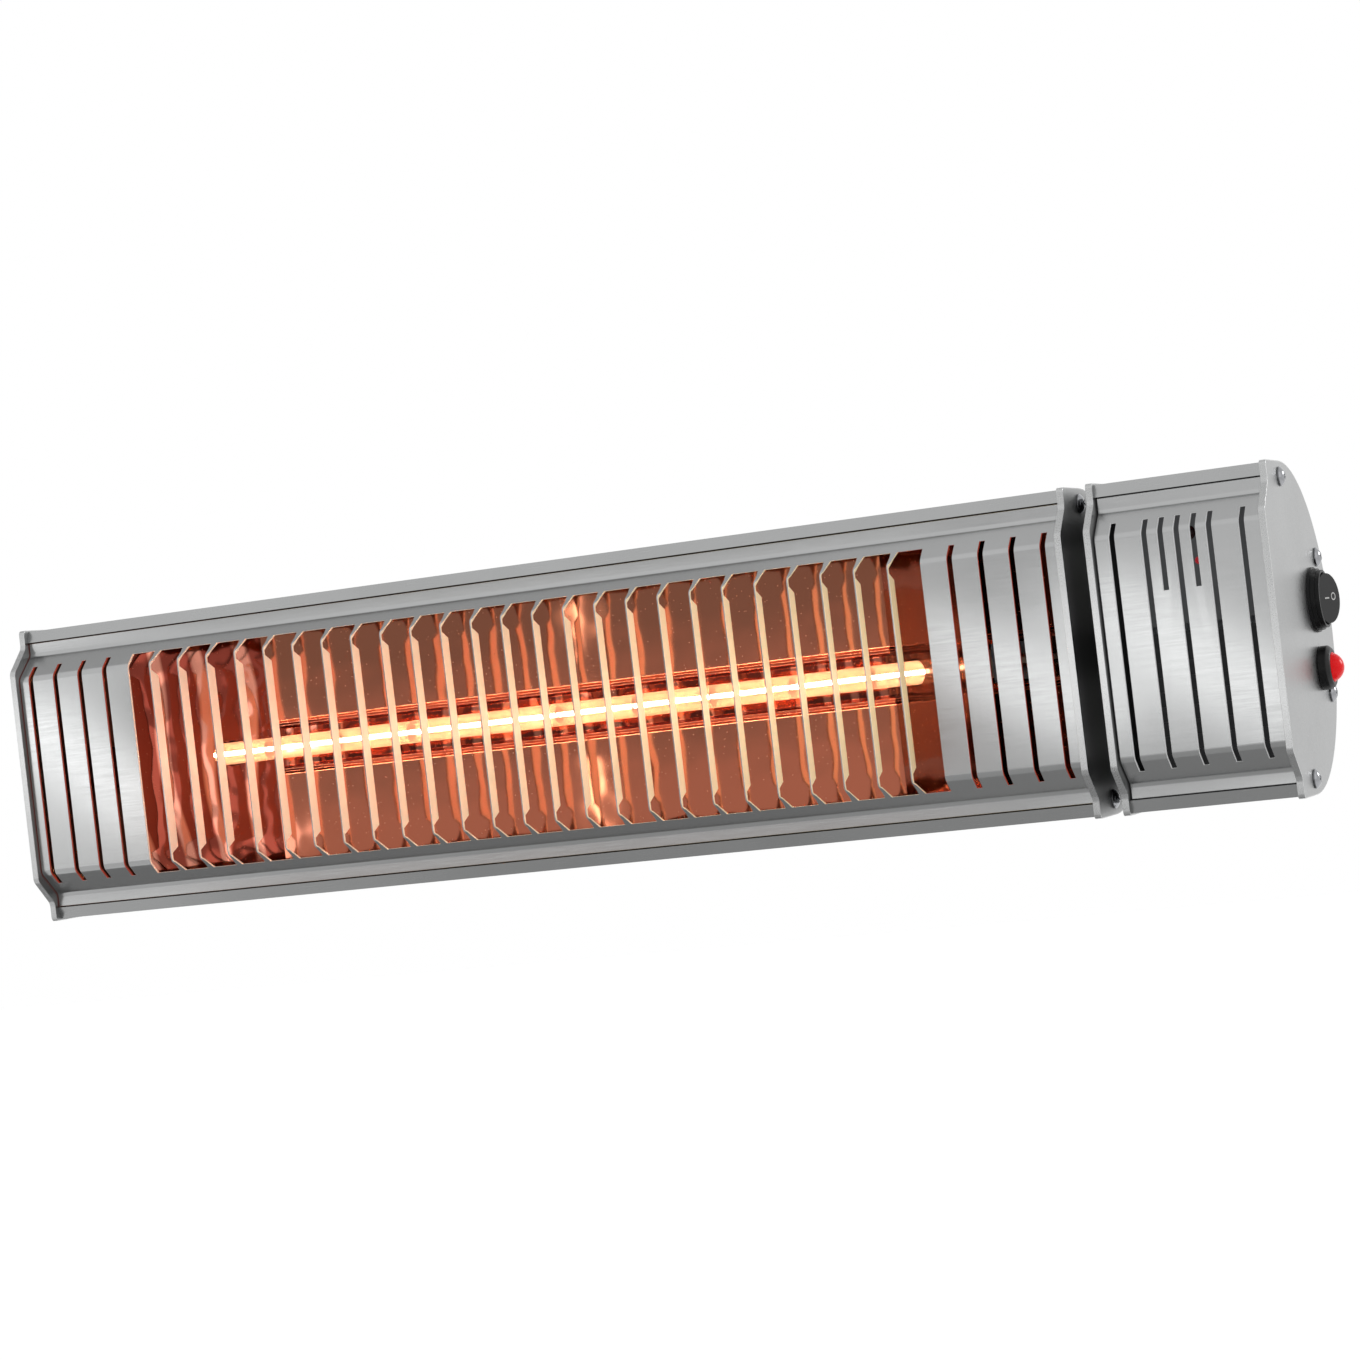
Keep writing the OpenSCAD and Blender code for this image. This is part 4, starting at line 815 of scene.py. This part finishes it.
# %% [markdown]
# ## Screws by Geometry Nodes
# The sixteen screws are one shape set at sixteen places, which is what instancing is
# for. A small mesh holds one point for each screw and which way it faces. The tree puts
# the head on each point, turns it to face out, gives each its own chance turn about its
# axis, as screws stop where they are tight, and makes the copies real.


# %% The tree that sets screws on points
def named_inputs(tree, wanted):
    made = {}
    for name, kind in wanted.items():
        made[name] = tree.interface.new_socket(
            name=name, in_out="INPUT", socket_type=kind,
        ).identifier
    tree.interface.new_socket(name="Geometry", in_out="OUTPUT", socket_type="NodeSocketGeometry")
    return made


screw_tree = bpy.data.node_groups.new("screws on points", "GeometryNodeTree")
screw_sockets = named_inputs(screw_tree, {
    "Points": "NodeSocketGeometry",
    "Screw": "NodeSocketObject",
    "Chance": "NodeSocketInt",
    "Finish": "NodeSocketMaterial",
})
# A Random Value node has sockets for every type, and these are the ones for a number.
RANDOM_MIN, RANDOM_MAX, RANDOM_OUT = 2, 3, 1
given = add(screw_tree, "NodeGroupInput").outputs
facing = add(screw_tree, "GeometryNodeInputNamedAttribute", {"Name": "facing"}, data_type="FLOAT")
lean = add(screw_tree, "ShaderNodeMath", {
    0: facing.outputs[0], 1: math.pi / 2,
}, operation="MULTIPLY")
lean = add(screw_tree, "ShaderNodeCombineXYZ", {"Y": lean.outputs[0]})
lean = add(screw_tree, "FunctionNodeEulerToRotation", {0: lean.outputs[0]})
shape = add(screw_tree, "GeometryNodeObjectInfo", {"Object": given["Screw"]})
copies = add(screw_tree, "GeometryNodeInstanceOnPoints", {
    "Points": given["Points"], "Instance": shape.outputs["Geometry"], "Rotation": lean.outputs[0],
})
chance = add(screw_tree, "FunctionNodeRandomValue", {
    RANDOM_MIN: 0.0, RANDOM_MAX: 2 * math.pi, "Seed": given["Chance"],
}, data_type="FLOAT")
spin = add(screw_tree, "ShaderNodeCombineXYZ", {"Z": chance.outputs[RANDOM_OUT]})
spin = add(screw_tree, "FunctionNodeEulerToRotation", {0: spin.outputs[0]})
turned_in = add(screw_tree, "GeometryNodeRotateInstances", {
    "Instances": copies.outputs[0], "Rotation": spin.outputs[0], "Local Space": True,
})
real = add(screw_tree, "GeometryNodeRealizeInstances", {0: turned_in.outputs[0]})
coated = add(screw_tree, "GeometryNodeSetMaterial", {
    0: real.outputs[0], "Material": given["Finish"],
})
add(screw_tree, "NodeGroupOutput", {0: coated.outputs[0]})
print("screw tree:", len(screw_tree.nodes), "nodes")


# %% [markdown]
# ## From a tree to a plain mesh
# A tree works as a modifier on a seed mesh. Its evaluated result is copied into a plain
# mesh, which is what the export wants, and the seed is removed. The places of the screws
# come from the CAD screws: each is one island of joined points with a box round it.


# %% Grow a tree, find the islands
def grow(name, seed_mesh, tree, values, finish, place_mm=(0, 0, 0)):
    seed = put_in_scene(name + "_seed", seed_mesh, finish)
    nodes_modifier = seed.modifiers.new("grow", "NODES")
    nodes_modifier.node_group = tree
    for identifier, value in values.items():
        nodes_modifier[identifier] = value
    bpy.context.view_layer.update()
    result = seed.evaluated_get(bpy.context.evaluated_depsgraph_get())
    mesh = bpy.data.meshes.new_from_object(result)
    mesh.transform(Matrix.Translation(Vector(place_mm) * MM))
    bpy.data.objects.remove(seed)
    grown = bpy.data.objects.new(name, mesh)
    bpy.context.scene.collection.objects.link(grown)
    return grown


def islands(node_name):
    shape = merged(node_name)
    left, boxes = set(shape.verts), []
    while left:
        group, edge_of_group = set(), [left.pop()]
        while edge_of_group:
            vertex = edge_of_group.pop()
            group.add(vertex)
            for edge in vertex.link_edges:
                other = edge.other_vert(vertex)
                if other in left:
                    left.remove(other)
                    edge_of_group.append(other)
        corners = [v.co.copy() for v in group]
        boxes.append([Vector(f(c[i] for c in corners) for i in range(3)) for f in (min, max)])
    shape.free()
    return boxes


# %% Set the sixteen screws
screw_source = put_in_scene("screw_source", pan_head, steel)
for node_name, seed_number in (("heater_plate_screws", 7), ("control_plate_screws", 11)):
    boxes = islands(node_name)
    middle = sum((b[0].x + b[1].x) / 2 for b in boxes) / len(boxes)
    # A set has no order of its own, so the screws are sorted: each run spins them alike.
    boxes.sort(key=lambda box: (box[0].x > middle, box[0].z))
    points = bpy.data.meshes.new(node_name + "_points")
    seats, ways = [], []
    for low, high in boxes:
        way = 1.0 if (low.x + high.x) / 2 > middle else -1.0
        tip = high.x if way > 0 else low.x
        seats.append((tip - way * HEAD_MM * MM, (low.y + high.y) / 2, (low.z + high.z) / 2))
        ways.append(way)
    points.from_pydata(seats, [], [])
    points.attributes.new("facing", "FLOAT", "POINT").data.foreach_set("value", ways)
    values = {
        screw_sockets["Screw"]: screw_source, screw_sockets["Chance"]: seed_number,
        screw_sockets["Finish"]: steel,
    }
    grown = grow(node_name + "_turned", points, screw_tree, values, steel)
    join_up(grown, node_name + "_turned", "heater", "steel_screws", node_name)
    print(grown.name, len(seats), "screws,", len(grown.data.polygons), "faces")
bpy.data.objects.remove(screw_source)

# %% [markdown]
# ## Filament
# The heating wire is wound like a spring inside the quartz tube. A coil is a rule: each
# next point is a small turn on and a small step along. The tree bends a straight line
# of points by that rule and sweeps a round wire along it.

# %% The coil tree
STEPS_A_TURN, WIRE_SIDES = 10, 6
coil_tree = bpy.data.node_groups.new("coil of wire", "GeometryNodeTree")
coil_sockets = named_inputs(coil_tree, {
    "Seed": "NodeSocketGeometry",
    "Length": "NodeSocketFloat",
    "Pitch": "NodeSocketFloat",
    "Coil Radius": "NodeSocketFloat",
    "Wire Radius": "NodeSocketFloat",
    "Finish": "NodeSocketMaterial",
})
given = add(coil_tree, "NodeGroupInput").outputs
turns = add(coil_tree, "ShaderNodeMath", {
    0: given["Length"], 1: given["Pitch"],
}, operation="DIVIDE")
count = add(coil_tree, "ShaderNodeMath", {
    0: turns.outputs[0], 1: STEPS_A_TURN,
}, operation="MULTIPLY")
line = add(coil_tree, "GeometryNodeCurvePrimitiveLine")
points = add(coil_tree, "GeometryNodeResampleCurve", {
    0: line.outputs[0], "Count": count.outputs[0],
})
index = add(coil_tree, "GeometryNodeInputIndex").outputs[0]
angle = add(coil_tree, "ShaderNodeMath", {
    0: index, 1: 2 * math.pi / STEPS_A_TURN,
}, operation="MULTIPLY")
step_on = add(coil_tree, "ShaderNodeMath", {0: given["Pitch"], 1: STEPS_A_TURN}, operation="DIVIDE")
along = add(coil_tree, "ShaderNodeMath", {0: index, 1: step_on.outputs[0]}, operation="MULTIPLY")
across = []
for wave in ("COSINE", "SINE"):
    turn = add(coil_tree, "ShaderNodeMath", {0: angle.outputs[0]}, operation=wave)
    reach = add(coil_tree, "ShaderNodeMath", {
        0: turn.outputs[0], 1: given["Coil Radius"],
    }, operation="MULTIPLY")
    across.append(reach.outputs[0])
place = add(coil_tree, "ShaderNodeCombineXYZ", {
    "X": along.outputs[0], "Y": across[0], "Z": across[1],
})
coil = add(coil_tree, "GeometryNodeSetPosition", {
    0: points.outputs[0], "Position": place.outputs[0],
})
wire = add(coil_tree, "GeometryNodeCurvePrimitiveCircle", {
    "Resolution": WIRE_SIDES, "Radius": given["Wire Radius"],
})
swept = add(coil_tree, "GeometryNodeCurveToMesh", {
    0: coil.outputs[0], 1: wire.outputs[0], "Fill Caps": True,
})
real = add(coil_tree, "GeometryNodeRealizeInstances", {0: swept.outputs[0]})
coated = add(coil_tree, "GeometryNodeSetMaterial", {
    0: real.outputs[0], "Material": given["Finish"],
})
add(coil_tree, "NodeGroupOutput", {0: coated.outputs[0]})
print("coil tree:", len(coil_tree.nodes), "nodes")

# %% Wind the filament
# The wire is drawn coarser than a real one. At this share of the CAD rod's radius the
# glowing coil looks as thick as in the photograph.
WIRE_MM, PITCH_MM, COIL_SHARE = 0.36, 1.3, 0.55
low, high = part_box("lamp_filament")
rod_radius = (high.z - low.z) / 2
values = {
    coil_sockets["Length"]: high.x - low.x,
    coil_sockets["Pitch"]: PITCH_MM * MM,
    coil_sockets["Coil Radius"]: COIL_SHARE * (rod_radius - WIRE_MM * MM),
    coil_sockets["Wire Radius"]: WIRE_MM * MM,
    coil_sockets["Finish"]: glow,
}
corner = Vector((low.x, (low.y + high.y) / 2, (low.z + high.z) / 2)) / MM
filament = grow("filament_coil", bpy.data.meshes.new("seed"), coil_tree, values, glow, corner)
join_up(filament, "filament_coil", "heater", "filament_glow", "lamp_filament")
print(filament.name, len(filament.data.polygons), "faces")

# %% [markdown]
# ## Marks on the rocker
# The rocker carries the two usual marks, a bar for on and a ring for off, printed in
# white. Both sit on the flat face, so the face is found first: it is the largest group
# of triangles that look the same way. The marks are thin raised prints on that plane.

# %% Find the flat face
areas = {}
for face in nodes["switch_rocker"].data.polygons:
    key = tuple(round(c, 2) for c in face.normal)
    total, centre = areas.get(key, (0.0, Vector()))
    areas[key] = (total + face.area, centre + face.center * face.area)
outward = max((k for k in areas if k[0] > 0.5), key=lambda k: areas[k][0])
total, centre = areas[outward]
face_out, face_middle = Vector(outward).normalized(), centre / total
face_up = Vector((0, 0, 1))
face_back = face_up.cross(face_out).normalized()
print("rocker face looks along", tuple(round(c, 2) for c in face_out))

# %% Print the marks
FLECK_MM, PROUD_MM, SUNK_MM, OVAL_POINTS = 0.5, 0.06, -0.05, 40
I_PLACE_MM, O_PLACE_MM = (-1.1, 0.1), (4.6, 0.6)
ink, tree, shader, place = start_finish("white switch print")
fleck = drifting(tree, place, FLECK_MM, "#b9b9b7", "#dcdcda")
feed(shader, {"Base Color": fleck, "Roughness": 0.5})


def on_face(back_mm, up_mm, lift_mm):
    return face_middle + (face_back * back_mm + face_up * up_mm + face_out * lift_mm) * MM


def printed(name, inner_mm, outer_mm, centre_mm):
    # A closed band between two outlines of (back, up) points, raised off the face.
    shape = bmesh.new()
    loops = []
    for outline in (inner_mm, outer_mm):
        for lift in (SUNK_MM, PROUD_MM):
            corners = [on_face(centre_mm[0] + b, centre_mm[1] + u, lift) for b, u in outline]
            loops.append([shape.verts.new(corner) for corner in corners])
    low_in, high_in, low_out, high_out = loops
    count = len(low_in)
    for k in range(count):
        n = (k + 1) % count
        shape.faces.new((high_in[k], high_out[k], high_out[n], high_in[n]))
        shape.faces.new((low_out[k], low_out[n], high_out[n], high_out[k]))
        shape.faces.new((low_in[n], low_in[k], high_in[k], high_in[n]))
        shape.faces.new((low_in[k], low_in[n], low_out[n], low_out[k]))
    bmesh.ops.recalc_face_normals(shape, faces=shape.faces)
    obj = put_in_scene(name, to_mesh(name, shape), ink)
    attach(obj, "rocker")
    print("printed", obj.name, "with", len(obj.data.polygons), "faces")


def oval(half_back, half_up):
    turns = [2 * math.pi * k / OVAL_POINTS for k in range(OVAL_POINTS)]
    return [(half_back * math.cos(t), half_up * math.sin(t)) for t in turns]


bar = [(1.8, 0.3), (-1.8, 0.3), (-1.8, -0.3), (1.8, -0.3)]
printed("mark_on", [(b * 0.5, u * 0.1) for b, u in bar], bar, I_PLACE_MM)
printed("mark_off", oval(1.4, 1.15), oval(1.9, 1.62), O_PLACE_MM)

# %% [markdown]
# ## Studio
# The heater hangs in front of a white background with no visible floor. The camera, a
# mirror and glass see it at full white, but it lights the heater less than that. Light
# Path tells the two apart.


# %% World and floor
def seen(tree):
    ray = add(tree, "ShaderNodeLightPath").outputs
    straight = add(tree, "ShaderNodeMath", {
        0: ray["Is Camera Ray"], 1: ray["Is Glossy Ray"],
    }, operation="MAXIMUM")
    return add(tree, "ShaderNodeMath", {
        0: straight.outputs[0], 1: ray["Is Transmission Ray"],
    }, operation="MAXIMUM").outputs[0]


def stage_sheet(name, width, depth, place, turn, finish, rounded=False):
    shape = bmesh.new()
    if rounded:
        bmesh.ops.create_circle(shape, cap_ends=True, segments=24, radius=0.5)
    else:
        bmesh.ops.create_grid(shape, x_segments=1, y_segments=1, size=0.5)
    obj = put_in_scene(name, to_mesh(name, shape), finish)
    obj.scale = (width, depth, 1)
    obj.rotation_euler = turn
    obj.location = place
    return obj


world = bpy.data.worlds.new("white room")
bpy.context.scene.world = world
world.use_nodes = True
tree = world.node_tree
level = add(tree, "ShaderNodeMapRange", {"Value": seen(tree), "To Min": 0.55, "To Max": 1.0})
feed(tree.nodes["Background"], {"Color": linear("#ffffff"), "Strength": level.outputs[0]})

pale, tree, shader, place = start_finish("pale floor")
lift = add(tree, "ShaderNodeMath", {0: seen(tree), 1: 0.5}, operation="MULTIPLY")
feed(shader, {
    "Base Color": linear("#f2f2f2"), "Roughness": 0.8, "Emission Color": linear("#ffffff"),
    "Emission Strength": lift.outputs[0],
})
floor = stage_sheet("floor", 16, 16, (0, 0, -0.75), (0, 0, 0), pale)
print("floor at", floor.location.z)

# %% [markdown]
# ## Cards
# Satin metal is lit by what it mirrors. A card is a sheet with a known brightness that
# only reflections see; its tone may change from one side to the other. Level and
# slanting cards above and below tone the sloping faces, one in front is the dim room in
# the reflector, one beside it tones the right side, and two small warm spots are the
# studio lamps that the photograph shows as flame-like glints.


# %% Cards
def card(
    name, width, depth, place, turn, first, second, along="X", start=-0.5, stop=0.5, strength=1.0,
    rounded=False,
):
    tone, tree, shader, spot = start_finish(name)
    parts = add(tree, "ShaderNodeSeparateXYZ", {0: spot})
    share = add(tree, "ShaderNodeMapRange", {
        "Value": parts.outputs[along], "From Min": start, "From Max": stop,
    })
    mixed = add(tree, "ShaderNodeMix", {
        0: share.outputs[0], MIX_A: linear(first), MIX_B: linear(second),
    }, data_type="RGBA")
    feed(shader, {
        "Emission Color": mixed.outputs[MIX_OUT], "Emission Strength": strength,
        "Base Color": linear("#000000"), "Specular IOR Level": 0.0,
    })
    obj = stage_sheet(name, width, depth, place, turn, tone, rounded)
    obj.visible_camera = obj.visible_shadow = False
    obj.visible_diffuse = obj.visible_transmission = False


LEVEL, UPRIGHT = (0, 0, 0), (math.pi / 2, 0, 0)
SLANT = math.atan2(0.5, 0.28)
card("card above", 1.5, 0.5, (0, -0.02, 0.6), LEVEL, "#bcbcbc", "#dadada", "X", -0.09, 0.0)
card("card below", 1.5, 0.5, (0, -0.02, -0.6), LEVEL, "#868686", "#969696", "X", -0.09, 0.05)
card("slanting card above", 1.6, 0.57, (-0.2, -0.41, 0.35), (SLANT, 0, 0), "#ececec", "#ececec")
card(
    "slanting card below", 1.6, 0.57, (-0.2, -0.41, -0.35), (-SLANT, 0, 0), "#f4f4f4", "#b0b0b0",
    "X", -0.3, 0.0,
)
card("dim room", 0.485, 0.144, (-0.1575, -0.5, 0), UPRIGHT, "#b3a29b", "#848480", "Y", -0.15, 0.15)
card(
    "card at the right", 0.275, 0.3, (0.2225, -0.5, 0), UPRIGHT, "#c4c4c4", "#e4e4e4", "X", -0.5,
    0.1,
)
for name, height in (("upper glint", 0.026), ("lower glint", -0.024)):
    card(
        name, 0.009, 0.03, (-0.168, -0.495, height), UPRIGHT, "#fff0d8", "#fff0d8", strength=5.0,
        rounded=True,
    )

# %% [markdown]
# ## Soft boxes
# A soft box is a lamp with a broad white face. Its light is given as the glare of that
# face, so a larger box gives more light but looks no brighter in a mirror.


# %% Soft boxes
def soft_box(name, width, height, place, aim, glare):
    data = bpy.data.lights.new(name, "AREA")
    data.shape = "RECTANGLE"
    data.size = width
    data.size_y = height
    data.energy = glare * math.pi * width * height
    lamp = bpy.data.objects.new(name, data)
    bpy.context.scene.collection.objects.link(lamp)
    lamp.location = place
    lamp.rotation_euler = (Vector(aim) - Vector(place)).to_track_quat("-Z", "Y").to_euler()
    lamp.visible_camera = False
    return lamp


key = soft_box("key", 1.6, 1.2, (-1.2, -2.2, 1.6), (0, -0.1, 0), 0.5)
fill = soft_box("fill", 1.4, 1.4, (2.2, -0.6, 0.6), (0.1, -0.1, 0), 0.28)
print("key gives", round(key.data.energy, 2), "W, fill", round(fill.data.energy, 2), "W")

# %% [markdown]
# ## Camera
# The camera stands where the photograph's did: level with the heater, in front and to
# the right. Its place, turn and lens were fitted until the casing's corners fell where
# they do in the photograph.

# %% Camera
CAMERA_MM = Vector((615.6, -1450.3, -3.2))
CAMERA_TURN = (math.pi / 2 + 0.0084, 0.1166, 0.3949)
FRAME_PX, FOCAL_PX = 1360, 3318.9
camera_data = bpy.data.cameras.new("camera")
camera_data.sensor_width = 36.0
camera_data.lens = FOCAL_PX / FRAME_PX * camera_data.sensor_width
camera_data.clip_start = 0.05
camera = bpy.data.objects.new("camera", camera_data)
camera.location = CAMERA_MM * MM
camera.rotation_euler = Euler(CAMERA_TURN, "XYZ")
bpy.context.scene.collection.objects.link(camera)
bpy.context.scene.camera = camera
print("lens", round(camera_data.lens, 2), "mm")

# %% [markdown]
# ## Streaks
# A flat satin face mirrors a narrow soft box as a pale streak. Each of the three flat
# stretches in the photograph has its own slanted streak, so each gets a narrow box a
# hand's breadth in front of it, where the mirror law puts it. The camera never sees it.

# %% Narrow boxes for the streaks
STREAK_GAP_MM, STREAK_STRETCH, STREAK_WIDTH = 250, 2.2, 0.045
# Two points of the casing's front, each from its left end and up, and then the glare.
streaks = {
    "left": ((15.6, 22), (55, -16), 1.3),
    "right": ((447, 12), (492, -20), 1.2),
    "control": ((528, 12), (568, -26), 1.12),
}
mirrored_camera = Vector((CAMERA_MM.x, -2 * CASE_Y_MM - CAMERA_MM.y, CAMERA_MM.z))
for name, (*ends, glare) in streaks.items():
    spots = []
    for x_casing, z in ends:
        spot = Vector((x_casing - CASE_X_MM, -CASE_Y_MM, z))
        ray_way = spot - mirrored_camera
        spots.append(spot + ray_way * (STREAK_GAP_MM / abs(ray_way.y)))
    middle = (spots[0] + spots[1]) / 2 * MM
    slope = spots[1] - spots[0]
    length = slope.length * MM * STREAK_STRETCH
    box = soft_box(
        "streak_" + name, length, STREAK_WIDTH, middle, middle + Vector((0, 1, 0)), glare,
    )
    tilt = math.atan2(slope.z, slope.x)
    box.rotation_euler = Euler((math.pi / 2, -tilt, 0), "XYZ")
    print(box.name, tuple(round(v, 3) for v in middle), "tilt", round(math.degrees(tilt)))

# %% [markdown]
# ## Spark
# A small strong lamp makes the bright spot on each screw dome, the switch and the
# button. The mirror law places it: a ray from the camera that meets a dome where its
# normal leans by DOME_NORMAL must leave towards the lamp.

# %% Spark
DOME_NORMAL = Vector((0.93, -0.3, 0.2)).normalized()
SPARK_SIZE, SPARK_AWAY, SPARK_GLARE = 0.5, 2.2, 10
to_camera = camera.location.normalized()
to_spark = 2 * DOME_NORMAL.dot(to_camera) * DOME_NORMAL - to_camera
spark_at = SPARK_AWAY * to_spark
soft_box("spark", SPARK_SIZE, SPARK_SIZE, spark_at, (0.3, -0.1, 0), SPARK_GLARE)
print("spark at", tuple(round(v, 2) for v in spark_at))

# %% [markdown]
# ## Settings
# The view transform is set to Standard.

# %% Settings and the end
bpy.context.scene.view_settings.view_transform = "Standard"
bpy.context.view_layer.update()
